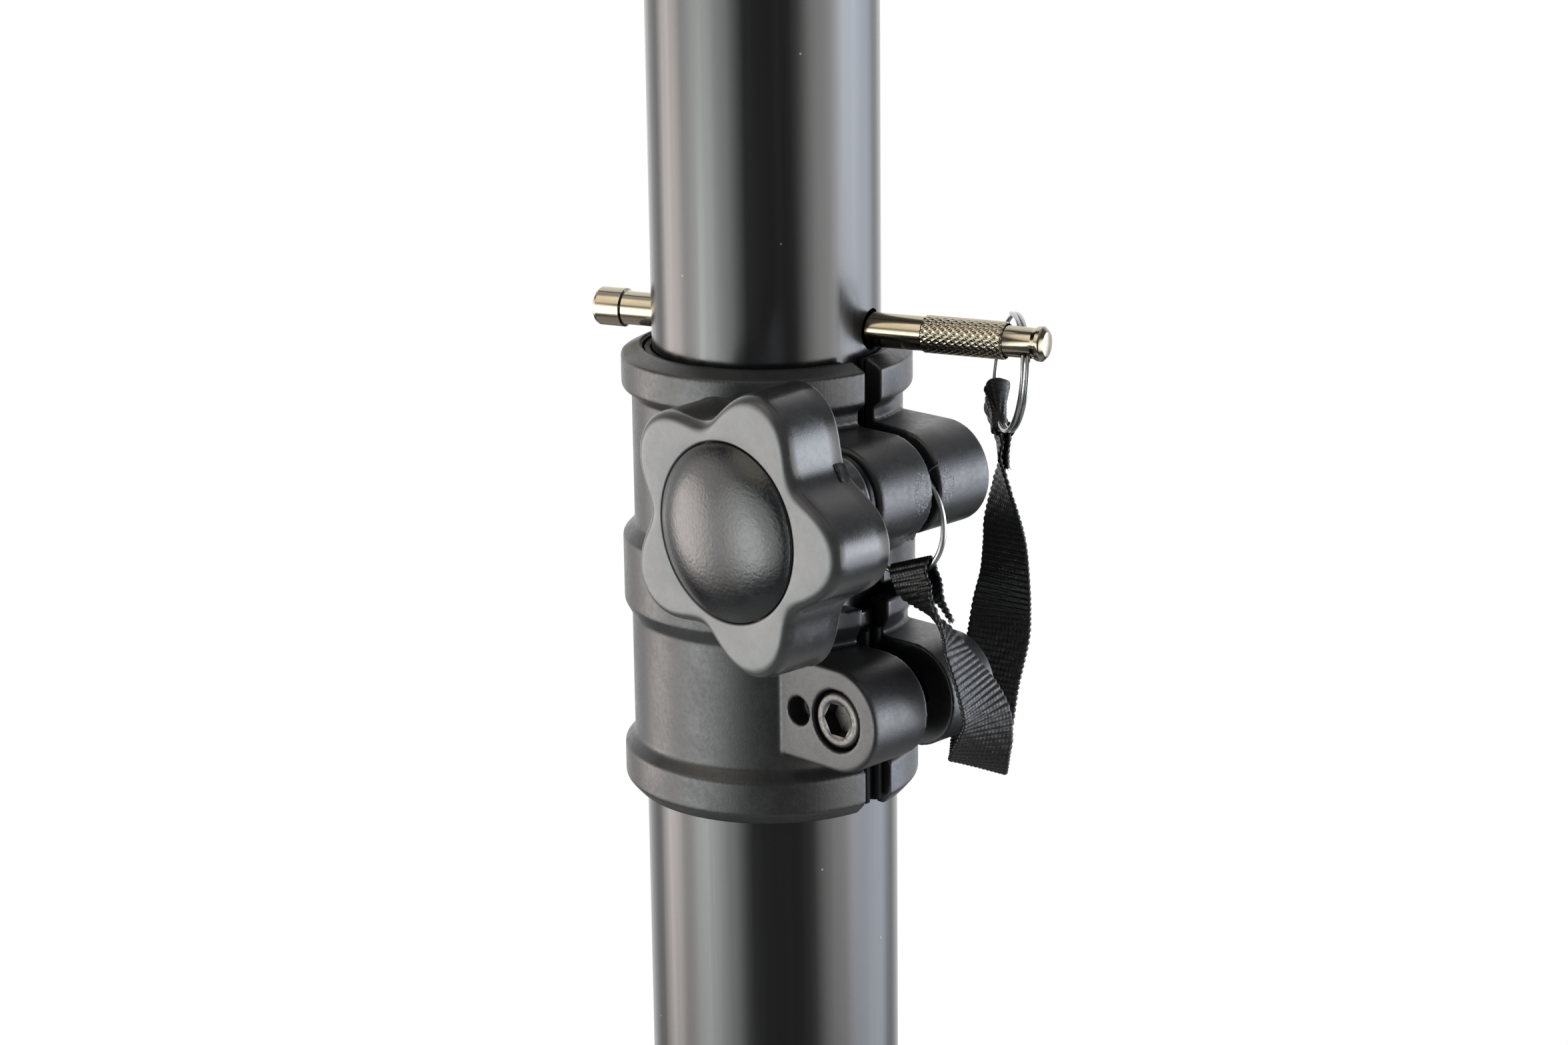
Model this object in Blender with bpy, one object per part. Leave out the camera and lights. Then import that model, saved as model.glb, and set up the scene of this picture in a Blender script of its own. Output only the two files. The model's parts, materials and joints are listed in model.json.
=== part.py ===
"""Lighting stand: telescopic mast with a pinned clamp, tripod base and T-bar.

Metres, +Z up. The origin is the centre of the base tube's foot, on the floor.
+X is the side of the clamp's slit and ears, and its star knob faces -Y.
"""
import math

import bmesh
import bpy
from mathutils import Matrix, Vector

MM = 0.001
GAP = 0.3 * MM

# Tubes and the mast's row of cross holes
ROUND_SEGMENTS = 32
BASE_RADIUS = 22.5 * MM
MAST_RADIUS = 20.0 * MM
TUBE_WALL = 2.0 * MM
COLLAR_TOP = 1360.0 * MM
PIN_HEIGHT = COLLAR_TOP + 5.2 * MM
PIN_AZIMUTH = math.radians(19.3)
HOLE_RADIUS = 3.6 * MM
HOLE_PITCH = 200.0 * MM
HOLE_COUNT = 7
MAST_BELOW_PIN = 1320.0 * MM
MAST_ABOVE_PIN = 250.0 * MM
MAST_TOP = PIN_HEIGHT + MAST_ABOVE_PIN

# Mast clamp, measured from the collar's top edge
RELIEF_TOP = -38.0 * MM
RELIEF_BOTTOM = -41.4 * MM
RELIEF_HALF_LENGTH = 8.2 * MM
TUBE_STOP = -43.0 * MM
COLLAR_BOTTOM = -79.1 * MM
UPPER_SLIT = 3.74 * MM
LOWER_SLIT = 6.4 * MM
UPPER_EAR_AXIS = (31.6 * MM, -18.5 * MM)
UPPER_EAR_RADIUS = 9.0 * MM
UPPER_EAR_FRONT = -14.6 * MM
UPPER_EAR_BACK = 12.9 * MM
LOWER_EAR_AXIS = (31.4 * MM, -57.1 * MM)
LOWER_EAR_RADIUS = 9.2 * MM
LOWER_EAR_FRONT = -16.3 * MM
LOWER_EAR_BACK = 14.7 * MM
EAR_ROOT = 17.5 * MM
M6_RADIUS = 3.0 * MM
M6_FLATS = 10.0 * MM
M6_NUT = 5.0 * MM
M8_RADIUS = 4.0 * MM
M10_RADIUS = 5.0 * MM
M10_FLATS = 17.0 * MM
M10_NUT = 8.0 * MM

# Rings and strap of the tether
TETHER_RING_RADIUS = 9.9 * MM
TETHER_WIRE = 0.6 * MM
TETHER_RING_CENTRE = (32.1 * MM, 0.0, -24.45 * MM)
PIN_RING_RADIUS = 10.0 * MM
PIN_RING_AZIMUTH = math.radians(146.0)
PIN_RING_LEAN = math.radians(5.5)
PIN_RING_DROP = 6.8 * MM
PIN_RING_HOLE = 48.0 * MM
STRAP_THICKNESS = 0.8 * MM

# Tripod: two equal links from the leg pivot (collar) and the brace pivot (hub) to the joint on the leg
LEG_AZIMUTHS = [math.radians(a) for a in (90.0, 210.0, 330.0)]
PIVOT_RADIUS = 46.0 * MM
LINK = 360.0 * MM
SPREAD = math.radians(38.0)
HUB_HEIGHT = 85.0 * MM
LEG_COLLAR_HEIGHT = HUB_HEIGHT + 2 * LINK * math.cos(SPREAD)
BRACE_OFFSET = 24.0 * MM
LEG_ANGLE = SPREAD + math.asin(BRACE_OFFSET / LINK)
LEG_SIDE = 25.0 * MM
LEG_WALL = 1.5 * MM
LEG_ABOVE = 9.0 * MM
LEG_LENGTH = 856.0 * MM
FOOT_SIDE = 32.0 * MM
FOOT_START = 812.0 * MM
FOOT_END = 880.0 * MM
SLEEVE_RADIUS = 28.0 * MM
SLEEVE_HALF = 32.0 * MM
TAB_HALF = 3.0 * MM
STRIP_START = 3.4 * MM
STRIP_THICKNESS = 3.0 * MM
STRIP_HALF = 9.0 * MM
RIVET_RADIUS = 3.5 * MM
EAR_START = 13.0 * MM
EAR_THICKNESS = 4.0 * MM

# T-bar
SOCKET_BOTTOM = MAST_TOP - 80.0 * MM
SOCKET_RADIUS = 24.5 * MM
SOCKET_PLATE = 6.0 * MM
CROSSBAR_LENGTH = 1100.0 * MM
CROSSBAR_SIDE = 30.0 * MM
CROSSBAR_WALL = 2.0 * MM
LAMP_BOLT_PLACES = (-480.0 * MM, -220.0 * MM, 220.0 * MM, 480.0 * MM)

# Turns a drawing in the XZ plane upright: its height becomes Z, and its extrusion runs towards -Y
UPRIGHT = Matrix.Rotation(math.radians(90.0), 4, "X")


def clear_scene():
    for obj in list(bpy.data.objects):
        bpy.data.objects.remove(obj, do_unlink=True)


def material(name, colour, roughness, metallic=0.0):
    finish = bpy.data.materials.new(name)
    finish.use_nodes = True
    shader = finish.node_tree.nodes["Principled BSDF"]
    shader.inputs["Base Color"].default_value = (*colour, 1.0)
    shader.inputs["Roughness"].default_value = roughness
    shader.inputs["Metallic"].default_value = metallic
    finish.diffuse_color = (*colour, 1.0)
    return finish


def in_mm(points):
    """Points written in millimetres, as metres."""
    return [tuple(value * MM for value in point) for point in points]


def at(x, y, z):
    return Matrix.Translation((x, y, z))


def arc(centre, radius, start, end, steps):
    """Points along an arc, angles in degrees, both ends included."""
    angles = [math.radians(start + (end - start) * i / steps) for i in range(steps + 1)]
    return [(centre[0] + radius * math.cos(a), centre[1] + radius * math.sin(a)) for a in angles]


def box_outline(x_low, x_high, y_low, y_high):
    return [(x_low, y_low), (x_high, y_low), (x_high, y_high), (x_low, y_high)]


def hexagon(across_flats):
    return arc((0.0, 0.0), across_flats / math.sqrt(3.0), 0.0, 300.0, 5)


def rounded_square(side, corner, steps=3):
    half = side / 2 - corner
    centres = ((half, half), (-half, half), (-half, -half), (half, -half))
    points = []
    for quarter, centre in enumerate(centres):
        points += arc(centre, corner, 90.0 * quarter, 90.0 * (quarter + 1), steps)
    return points


def circle(radius, height, segments, place=Matrix()):
    """One loop of points round local Z, or a single point where the radius is nothing."""
    if radius < 1e-9:
        return [place @ Vector((0.0, 0.0, height))]
    angles = [2 * math.pi * i / segments for i in range(segments)]
    return [place @ Vector((radius * math.cos(a), radius * math.sin(a), height)) for a in angles]


def skin(bm, loops, ring=False):
    """Cover loops of points with faces; end loops are capped, or joined when the skin is a ring."""
    rows = [[bm.verts.new(point) for point in loop] for loop in loops]
    count = max(len(row) for row in rows)
    pairs = list(zip(rows, rows[1:]))
    if ring:
        pairs.append((rows[-1], rows[0]))
    for first, second in pairs:
        for i in range(count):
            j = (i + 1) % count
            corners = [first[i % len(first)], first[j % len(first)],
                       second[j % len(second)], second[i % len(second)]]
            corners = list(dict.fromkeys(corners))
            if len(corners) > 2:
                bm.faces.new(corners)
    if not ring:
        for row in (rows[0], rows[-1]):
            if len(row) > 2:
                bm.faces.new(row)


def turned(bm, profile, segments, place=Matrix(), ring=True):
    """Turn (radius, height) points round local Z. A profile that starts on the axis has ring=False."""
    skin(bm, [circle(r, z, segments, place) for r, z in profile], ring)


def prism(bm, outline, low, high, place=Matrix()):
    """Extrude an outline of (x, y) points along local Z."""
    skin(bm, [[place @ Vector((x, y, z)) for x, y in outline] for z in (low, high)])


def rod(bm, radius, low, high, segments, place=Matrix()):
    skin(bm, [circle(radius, z, segments, place) for z in (low, high)])


def add_object(name, bm, finish, parent=None):
    bmesh.ops.recalc_face_normals(bm, faces=bm.faces)
    mesh = bpy.data.meshes.new(name)
    bm.to_mesh(mesh)
    bm.free()
    mesh.shade_smooth()
    mesh.set_sharp_from_angle(angle=math.radians(35.0))
    if finish:
        mesh.materials.append(finish)
    obj = bpy.data.objects.new(name, mesh)
    bpy.context.collection.objects.link(obj)
    obj.parent = parent
    return obj


def empty(name, place, parent=None):
    """A joint's pivot or a group's origin."""
    obj = bpy.data.objects.new(name, None)
    bpy.context.collection.objects.link(obj)
    obj.parent = parent
    obj.matrix_basis = place
    return obj


def boolean(obj, operation, name, draw, parent=None):
    """Cut or join a hidden helper shape, drawn by a function that fills a bmesh."""
    bm = bmesh.new()
    draw(bm)
    helper = add_object(name, bm, None, parent)
    helper.hide_render = True
    helper.display_type = "WIRE"
    change = obj.modifiers.new(name, "BOOLEAN")
    change.operation = operation
    change.object = helper
    return obj


def cut(obj, name, draw, parent=None):
    return boolean(obj, "DIFFERENCE", name, draw, parent)


def join(obj, name, draw, parent=None):
    return boolean(obj, "UNION", name, draw, parent)


def solid(name, finish, draw, parent=None):
    bm = bmesh.new()
    draw(bm)
    return add_object(name, bm, finish, parent)


def draw_ear(axis, radius, front, back, steps=10):
    """A lug from the collar's wall to a round end about the bolt's axis."""
    outline = [(EAR_ROOT, axis[1] - radius)] + arc(axis, radius, -90.0, 90.0, steps)
    outline.append((EAR_ROOT, axis[1] + radius))
    return lambda bm: prism(bm, outline, -back, -front, UPRIGHT)


def draw_rod(axis, radius, front, back, segments=16):
    """A rod along Y through a point of the XZ plane."""
    return lambda bm: rod(bm, radius, -back, -front, segments, at(axis[0], 0.0, axis[1]) @ UPRIGHT)


def draw_hex(axis, flats, front, back):
    return lambda bm: prism(bm, hexagon(flats), -back, -front, at(axis[0], 0.0, axis[1]) @ UPRIGHT)


def draw_nut(axis, flats, bore, front, back, bore_segments=12):
    """A hexagon with a round hole, along Y."""
    place = at(axis[0], 0.0, axis[1]) @ UPRIGHT
    return lambda bm: nut(bm, flats, bore, -back, -front, place, bore_segments)


def nut(bm, flats, bore, low, high, place, segments=12):
    """Outside loops have the hole's number of points, two to a hexagon's side."""
    corner = flats / math.sqrt(3.0)
    outside = []
    for i in range(segments):
        angle = 2 * math.pi * i / segments
        off_centre = (angle % math.radians(60.0)) - math.radians(30.0)
        outside.append((angle, corner * math.cos(math.radians(30.0)) / math.cos(off_centre)))
    inside = [(angle, bore) for angle, radius in outside]
    loops = []
    for z, outline in ((low, outside), (high, outside), (high, inside), (low, inside)):
        loops.append([place @ Vector((r * math.cos(a), r * math.sin(a), z)) for a, r in outline])
    skin(bm, loops, ring=True)


def build_tubes(steel, nylon):
    """The base tube stands on its foot plug, and the mast slides in it."""
    base_top = COLLAR_TOP + TUBE_STOP - GAP
    plug_flange = 4.0 * MM
    plug_height = 22.0 * MM
    base_inner = BASE_RADIUS - TUBE_WALL
    mast_inner = MAST_RADIUS - TUBE_WALL
    mast_bottom = PIN_HEIGHT - MAST_BELOW_PIN

    base_profile = [(BASE_RADIUS, plug_flange + GAP), (BASE_RADIUS, base_top),
                    (base_inner, base_top), (base_inner, plug_flange + GAP)]
    solid("base_tube", steel, lambda bm: turned(bm, base_profile, ROUND_SEGMENTS))
    plug_profile = [(0.0, 0.0), (BASE_RADIUS - 0.8 * MM, 0.0), (BASE_RADIUS, 0.8 * MM),
                    (BASE_RADIUS, plug_flange), (base_inner - GAP, plug_flange),
                    (base_inner - GAP, plug_height), (0.0, plug_height)]
    solid("base_plug", nylon, lambda bm: turned(bm, plug_profile, ROUND_SEGMENTS, ring=False))

    mast_profile = [(MAST_RADIUS, mast_bottom), (MAST_RADIUS, MAST_TOP), (mast_inner, MAST_TOP),
                    (mast_inner, mast_bottom)]
    mast = solid("mast_tube", steel, lambda bm: turned(bm, mast_profile, ROUND_SEGMENTS))

    def draw_holes(bm):
        across = Matrix.Rotation(PIN_AZIMUTH, 4, "Z") @ Matrix.Rotation(math.radians(90.0), 4, "Y")
        for i in range(HOLE_COUNT):
            height = PIN_HEIGHT - i * HOLE_PITCH
            rod(bm, HOLE_RADIUS, -2 * MAST_RADIUS, 2 * MAST_RADIUS, 12, at(0.0, 0.0, height) @ across)

    cut(mast, "mast_holes", draw_holes)
    guide = MAST_RADIUS + 0.2 * MM
    end_profile = [(0.0, mast_bottom - 3.3 * MM), (guide, mast_bottom - 3.3 * MM), (guide, mast_bottom - GAP),
                   (mast_inner - GAP, mast_bottom - GAP), (mast_inner - GAP, mast_bottom + 15.0 * MM),
                   (0.0, mast_bottom + 15.0 * MM)]
    solid("mast_plug", nylon, lambda bm: turned(bm, end_profile, ROUND_SEGMENTS, ring=False))


def build_collar(nylon, liner, blacked, zinc, clamp):
    """The moulded clamp: one casting grips the base tube below and the mast above."""
    upper_bore = 21.7
    lower_bore = 22.8
    profile = in_mm([(upper_bore, 1.5), (22.3, 1.5), (25.45, 0.0), (25.45, -5.5), (23.7, -6.9), (23.7, -30.3),
                     (25.8, -32.5), (25.8, -44.3), (24.5, -46.8), (24.5, -69.2), (26.3, -71.1), (26.3, -76.9),
                     (24.4, -79.1), (lower_bore, -79.1), (lower_bore, -43.0), (upper_bore, -43.0)])
    collar = solid("collar", nylon, lambda bm: turned(bm, profile, ROUND_SEGMENTS), clamp)
    upper = (UPPER_EAR_AXIS, UPPER_EAR_RADIUS, UPPER_EAR_FRONT, UPPER_EAR_BACK)
    lower = (LOWER_EAR_AXIS, LOWER_EAR_RADIUS, LOWER_EAR_FRONT, LOWER_EAR_BACK)
    join(collar, "upper_ears", draw_ear(*upper), clamp)
    join(collar, "lower_ears", draw_ear(*lower), clamp)

    lower_edge = COLLAR_BOTTOM - 2 * MM
    reach = 50.0 * MM
    upper_slit = box_outline(0.0, reach, -UPPER_SLIT / 2, UPPER_SLIT / 2)
    lower_slit = box_outline(0.0, reach, -LOWER_SLIT / 2, LOWER_SLIT / 2)
    cut(collar, "upper_slit", lambda bm: prism(bm, upper_slit, RELIEF_BOTTOM - MM, 5.0 * MM), clamp)
    cut(collar, "lower_slit", lambda bm: prism(bm, lower_slit, lower_edge, RELIEF_BOTTOM + MM), clamp)

    def draw_bore(radius, low, high):
        return lambda bm: rod(bm, radius * MM, low, high, ROUND_SEGMENTS)

    cut(collar, "lower_bore", draw_bore(lower_bore, lower_edge, TUBE_STOP), clamp)
    cut(collar, "upper_bore", draw_bore(upper_bore, TUBE_STOP - MM, 5.0 * MM), clamp)

    def draw_relief(bm):
        """A short cross slot with round ends, through the mid flange at the slit."""
        middle = (RELIEF_TOP + RELIEF_BOTTOM) / 2
        end = (RELIEF_TOP - RELIEF_BOTTOM) / 2
        straight = RELIEF_HALF_LENGTH - end
        outline = arc((straight, middle), end, -90.0, 90.0, 4) + arc((-straight, middle), end, 90.0, 270.0, 4)
        prism(bm, outline, -reach, -EAR_ROOT, Matrix.Rotation(math.radians(90.0), 4, "Z") @ UPRIGHT
              @ Matrix.Rotation(math.radians(180.0), 4, "Y"))

    cut(collar, "relief_slot", draw_relief, clamp)
    hole = M6_RADIUS + GAP
    pocket = M6_NUT + 0.6 * MM
    cut(collar, "knob_hole", draw_rod(UPPER_EAR_AXIS, hole, UPPER_EAR_FRONT - MM, UPPER_EAR_BACK + MM),
        clamp)
    cut(collar, "screw_hole", draw_rod(LOWER_EAR_AXIS, hole, LOWER_EAR_FRONT - MM, LOWER_EAR_BACK + MM),
        clamp)
    counterbore_depth = 6.3 * MM
    cut(collar, "counterbore", draw_rod(LOWER_EAR_AXIS, 5.5 * MM, LOWER_EAR_FRONT - MM,
                                        LOWER_EAR_FRONT + counterbore_depth, 24), clamp)
    blind = (22.6 * MM, -57.3 * MM)
    cut(collar, "blind_hole", draw_rod(blind, 2.5 * MM, LOWER_EAR_FRONT - MM,
                                       LOWER_EAR_FRONT + 4.0 * MM, 12), clamp)
    nut_pocket = M6_FLATS + 0.6 * MM
    cut(collar, "upper_nut_pocket", draw_hex(UPPER_EAR_AXIS, nut_pocket, UPPER_EAR_BACK - pocket,
                                             UPPER_EAR_BACK + MM), clamp)
    cut(collar, "lower_nut_pocket", draw_hex(LOWER_EAR_AXIS, nut_pocket, LOWER_EAR_BACK - pocket,
                                             LOWER_EAR_BACK + MM), clamp)

    solid("clamp_nut", zinc, draw_nut(UPPER_EAR_AXIS, M6_FLATS, hole, UPPER_EAR_BACK - pocket + GAP,
                                      UPPER_EAR_BACK - GAP), clamp)
    solid("base_clamp_nut", zinc, draw_nut(LOWER_EAR_AXIS, M6_FLATS, hole, LOWER_EAR_BACK - pocket + GAP,
                                           LOWER_EAR_BACK - GAP), clamp)

    bush_profile = in_mm([(20.3, -37.5), (21.4, -37.5), (21.4, 0.9), (20.3, 0.9)])
    bush = solid("mast_bush", liner, lambda bm: turned(bm, bush_profile, ROUND_SEGMENTS), clamp)
    cut(bush, "bush_slit", lambda bm: prism(bm, upper_slit, -40.0 * MM, 5.0 * MM), clamp)

    def draw_key(bm):
        """A strip in the lower slit with two upright ribs."""
        inner = 22.9 * MM
        face = 24.0 * MM
        half = 2.8 * MM
        rib = 1.1 * MM
        outline = [(inner, -half), (face, -half)]
        outline += arc((face, -1.5 * MM), rib, -90.0, 90.0, 5)
        outline += arc((face, 1.5 * MM), rib, -90.0, 90.0, 5)
        outline += [(face, half), (inner, half)]
        prism(bm, outline, -80.0 * MM, -46.0 * MM)

    solid("clamp_key", liner, draw_key, clamp)

    def draw_screw(bm):
        """Socket cap screw: shank, head and hexagonal socket, turned as one, 12 points round."""
        place = at(LOWER_EAR_AXIS[0], 0.0, LOWER_EAR_AXIS[1]) @ UPRIGHT
        head_face = -LOWER_EAR_FRONT - 0.3 * MM
        head_seat = head_face - 5.7 * MM
        tail = -LOWER_EAR_BACK + 0.8 * MM
        segments = 24
        turnings = ((M6_RADIUS, tail), (M6_RADIUS, head_seat), (5.0 * MM, head_seat),
                    (5.0 * MM, head_face - 0.5 * MM), (4.5 * MM, head_face))
        loops = [circle(radius, height, segments, place) for radius, height in turnings]
        corner = 5.0 * MM / math.sqrt(3.0)
        for z in (head_face, head_face - 3.0 * MM):
            loop = []
            for i in range(segments):
                angle = 2 * math.pi * i / segments
                off_centre = (angle % math.radians(60.0)) - math.radians(30.0)
                radius = corner * math.cos(math.radians(30.0)) / math.cos(off_centre)
                loop.append(place @ Vector((radius * math.cos(angle), radius * math.sin(angle), z)))
            loops.append(loop)
        skin(bm, loops)

    solid("base_clamp_screw", blacked, draw_screw, clamp)


def star_knob(prefix, seat, plastic, cap_finish, steel, washer_finish, size):
    """Star knob on its stud. Local Z of the seat points away from the clamped piece, zero at its face."""
    hub_start = 1.8 * MM
    hub_end = size["hub_length"]
    back = hub_end
    front = back + size["thickness"]
    middle = (size["lobe"] + size["notch"]) / 2
    swing = (size["lobe"] - size["notch"]) / 2
    cap_radius = size["cap"]
    stud = size["stud"]
    hub = size["hub"]
    points = 5 * size["points_per_lobe"]
    angles = [2 * math.pi * i / points for i in range(points)]

    def star(inset, z):
        radii = [middle - inset + swing * math.cos(5 * a) for a in angles]
        return [Vector((r * math.cos(a), r * math.sin(a), z)) for r, a in zip(radii, angles)]

    def draw_knob(bm):
        floor = front - 2.0 * MM
        bore_end = front - 7.0 * MM
        loops = [circle(stud + GAP, bore_end, points), circle(stud + GAP, hub_start, points),
                 circle(hub, hub_start, points), circle(hub, back, points),
                 star(1.3 * MM, back), star(0.4 * MM, back + 0.3 * MM), star(0.0, back + 1.2 * MM),
                 star(0.3 * MM, front - 2.4 * MM), star(1.0 * MM, front - 0.8 * MM), star(2.6 * MM, front),
                 circle(cap_radius + GAP, front, points), circle(cap_radius + GAP, floor, points)]
        skin(bm, loops)

    def draw_cap(bm):
        floor = front - 2.0 * MM + GAP
        rise = size["cap_rise"]
        profile = [(0.0, floor), (cap_radius, floor), (cap_radius, front + 0.2 * MM)]
        for step in range(1, 4):
            angle = math.radians(90.0 * step / 4)
            profile.append((cap_radius * 0.985 * math.cos(angle), front + 0.5 * MM + rise * math.sin(angle)))
        turned(bm, profile + [(0.0, front + 0.5 * MM + rise)], 30, ring=False)

    solid(prefix + "knob", plastic, draw_knob, seat)
    solid(prefix + "knob_cap", cap_finish, draw_cap, seat)
    stud_end = front - 7.0 * MM - GAP
    solid(prefix + "knob_stud", steel, lambda bm: rod(bm, stud, -size["reach"], stud_end, 12), seat)
    washer = [(stud + GAP, GAP), (size["washer"], GAP), (size["washer"], 1.5 * MM), (stud + GAP, 1.5 * MM)]
    solid(prefix + "knob_washer", washer_finish, lambda bm: turned(bm, washer, 20), seat)


def pin_ring_frame():
    """The hole in the pin's head, and the centre and two in-plane directions of the ring that hangs in it."""
    hole = Vector((math.cos(PIN_AZIMUTH), math.sin(PIN_AZIMUTH), 0.0)) * PIN_RING_HOLE
    hole.z = PIN_HEIGHT
    side = Vector((math.cos(PIN_RING_AZIMUTH), math.sin(PIN_RING_AZIMUTH), 0.0))
    upright = Vector((0.0, 0.0, 1.0))
    up = upright * math.cos(PIN_RING_LEAN) + side.cross(upright) * math.sin(PIN_RING_LEAN)
    reach = math.sqrt(PIN_RING_RADIUS ** 2 - PIN_RING_DROP ** 2)
    return hole, hole + side * reach - up * PIN_RING_DROP, side, up


def build_pin(plated, clamp):
    """Locking pin through the mast, with its split ring. Local Z runs along the pin to its head."""
    turn = Matrix.Rotation(PIN_AZIMUTH, 4, "Z") @ Matrix.Rotation(math.radians(90.0), 4, "Y")
    axis = empty("pin_axis", at(0.0, 0.0, PIN_HEIGHT) @ turn)
    profile = in_mm([(0.0, -32.6), (2.9, -32.6), (3.3, -32.2), (3.3, -27.5), (2.7, -27.1), (2.7, 29.0),
                     (3.2, 29.3), (3.2, 44.2), (2.9, 44.5), (2.9, 45.3), (3.1, 45.6), (3.1, 50.6),
                     (2.6, 51.3), (0.0, 51.3)])
    pin = solid("lock_pin", plated, lambda bm: turned(bm, profile, 20, ring=False), axis)

    hole, centre, side, up = pin_ring_frame()
    along = (side * PIN_RING_DROP + up * (centre - hole).dot(side)).normalized()
    inward = (centre - hole).normalized()
    drill = Matrix.Translation(hole + inward * GAP) @ along.to_track_quat("Z", "Y").to_matrix().to_4x4()
    cut(pin, "ring_hole", lambda bm: rod(bm, 1.55 * MM, -8.0 * MM, 8.0 * MM, 12, drill))

    half_wire = 0.45 * MM
    half_height = 0.7 * MM
    flat = side.cross(up)
    lie = Matrix.Translation(centre) @ flat.to_track_quat("Z", "Y").to_matrix().to_4x4()
    ring_profile = [(PIN_RING_RADIUS - half_wire, -half_height), (PIN_RING_RADIUS + half_wire, -half_height),
                    (PIN_RING_RADIUS + half_wire, half_height), (PIN_RING_RADIUS - half_wire, half_height)]
    solid("pin_ring", plated, lambda bm: turned(bm, ring_profile, 32, lie))

    centre_x, centre_y, centre_z = TETHER_RING_CENTRE
    wire = arc((TETHER_RING_RADIUS, 0.0), TETHER_WIRE, 0.0, 300.0, 5)
    lay = at(centre_x, centre_y, centre_z) @ UPRIGHT
    solid("tether_ring", plated, lambda bm: turned(bm, wire, 30, lay), clamp)


def hook(wire, side, inward, across, spread, depth, width):
    """Stations of tape led over a ring's wire, through the ring, from one side to the other."""
    stations = []
    for step in range(5):
        angle = math.radians(45.0 * step)
        place = Vector(wire) + side * (spread * math.cos(angle)) + inward * (depth * math.sin(angle))
        stations.append((place, across, width))
    return stations


def strap_route():
    """The strap's middle line from its cut end at the clamp's ring to its cut end at the pin's ring.

    Each station is x, y, z from the collar's top in millimetres, the direction across the tape, and
    the width that the tape still spreads there.
    """
    to_right = Vector((0.71, 0.704, 0.0))
    to_front = Vector((0.704, -0.71, 0.0))

    def face(degrees):
        return to_right * math.cos(math.radians(degrees)) + to_front * math.sin(math.radians(degrees))

    lower_arc = Vector((0.94, 0.0, 0.342))
    lower_inward = Vector((-0.342, 0.0, 0.94))
    clamp_loop = [((41.6, 3.8, -41.6), face(75), 10), ((39.6, 3.0, -38.9), face(62), 10),
                  ((37.4, 2.2, -36.4), face(50), 10)]
    clamp_loop += hook((35.5, 0.0, -33.75), Vector((0.0, 1.0, 0.0)), lower_inward, lower_arc, 1.5, 2.4, 9.5)
    clamp_loop += [((36.8, -1.3, -36.6), face(52), 10), ((38.7, -0.3, -39.7), face(70), 10)]
    front_run = [
        ((40.4, 1.2, -42.8), face(90), 10), ((41.8, 2.0, -45.3), face(101), 10),
        ((43.2, 2.0, -48.0), face(112), 10), ((44.9, 2.3, -52.4), face(130), 10),
        ((46.0, 3.4, -57.8), face(150), 10), ((45.7, 4.5, -62.4), face(165), 10),
        ((44.4, 5.9, -66.3), face(175), 10)]
    fold = [((42.2, 8.4, -69.2), face(180), 10), ((39.0, 12.1, -70.5), face(180), 10),
            ((35.6, 16.8, -69.8), face(180), 10)]
    rear_run = [
        ((33.2, 21.1, -66.0), face(180), 10), ((32.5, 23.3, -59.7), face(181), 10),
        ((32.9, 24.2, -53.5), face(182), 10), ((33.1, 24.4, -46.5), face(184), 10),
        ((33.1, 24.2, -39.0), face(192), 10), ((33.2, 24.0, -32.0), face(212), 10),
        ((33.5, 23.7, -26.1), face(240), 9)]

    centre, side, up = pin_ring_frame()[1:]
    turn = math.radians(-42.0)
    outward = side * math.cos(turn) + up * math.sin(turn)
    upper_arc = up * math.cos(turn) - side * math.sin(turn)
    wire = (centre + outward * PIN_RING_RADIUS) / MM
    wire.z -= COLLAR_TOP / MM
    far = side.cross(up)
    pinch = Vector((-0.7, 0.7, 0.15))
    pin_loop = [
        ((33.7, 23.4, -20.5), pinch, 5.5), ((33.0, 22.5, -17.2), pinch.lerp(upper_arc, 0.35), 6.5),
        ((32.0, 21.7, -13.8), pinch.lerp(upper_arc, 0.65), 7.8),
        ((31.4, 21.4, -10.8), pinch.lerp(upper_arc, 0.9), 8.8)]
    pin_loop += hook(wire, -far, -outward, upper_arc, 1.8, 2.4, 9.0)
    pin_loop += [
        ((33.6, 24.7, -10.8), pinch.lerp(upper_arc, 0.9), 8.8),
        ((34.1, 24.7, -13.8), pinch.lerp(upper_arc, 0.65), 7.8),
        ((34.5, 24.5, -16.8), pinch.lerp(upper_arc, 0.35), 6.5)]
    return clamp_loop + front_run + fold + rear_run + pin_loop


def build_strap(webbing, clamp):
    """A woven tape, one closed ribbon along its route."""
    stations = [(Vector(place) * MM, across.normalized(), width * MM)
                for place, across, width in strap_route()]
    loops = []
    for i, (middle, across, width) in enumerate(stations):
        before = stations[max(i - 1, 0)][0]
        after = stations[min(i + 1, len(stations) - 1)][0]
        along = (after - before).normalized()
        across = (across - along * across.dot(along)).normalized()
        normal = along.cross(across)
        edge = across * (width / 2)
        skin_depth = normal * (STRAP_THICKNESS / 2)
        loops.append([middle + edge + skin_depth, middle + skin_depth, middle - edge + skin_depth,
                      middle - edge - skin_depth, middle - skin_depth, middle + edge - skin_depth])
    solid("tether_strap", webbing, lambda bm: skin(bm, loops), clamp)


def leg_place(azimuth):
    """Frame of a leg: origin on its pivot, -Z down the leg, +X outwards, Y along the pivot."""
    return (Matrix.Rotation(azimuth, 4, "Z") @ at(PIVOT_RADIUS, 0.0, LEG_COLLAR_HEIGHT)
            @ Matrix.Rotation(-LEG_ANGLE, 4, "Y"))


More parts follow.
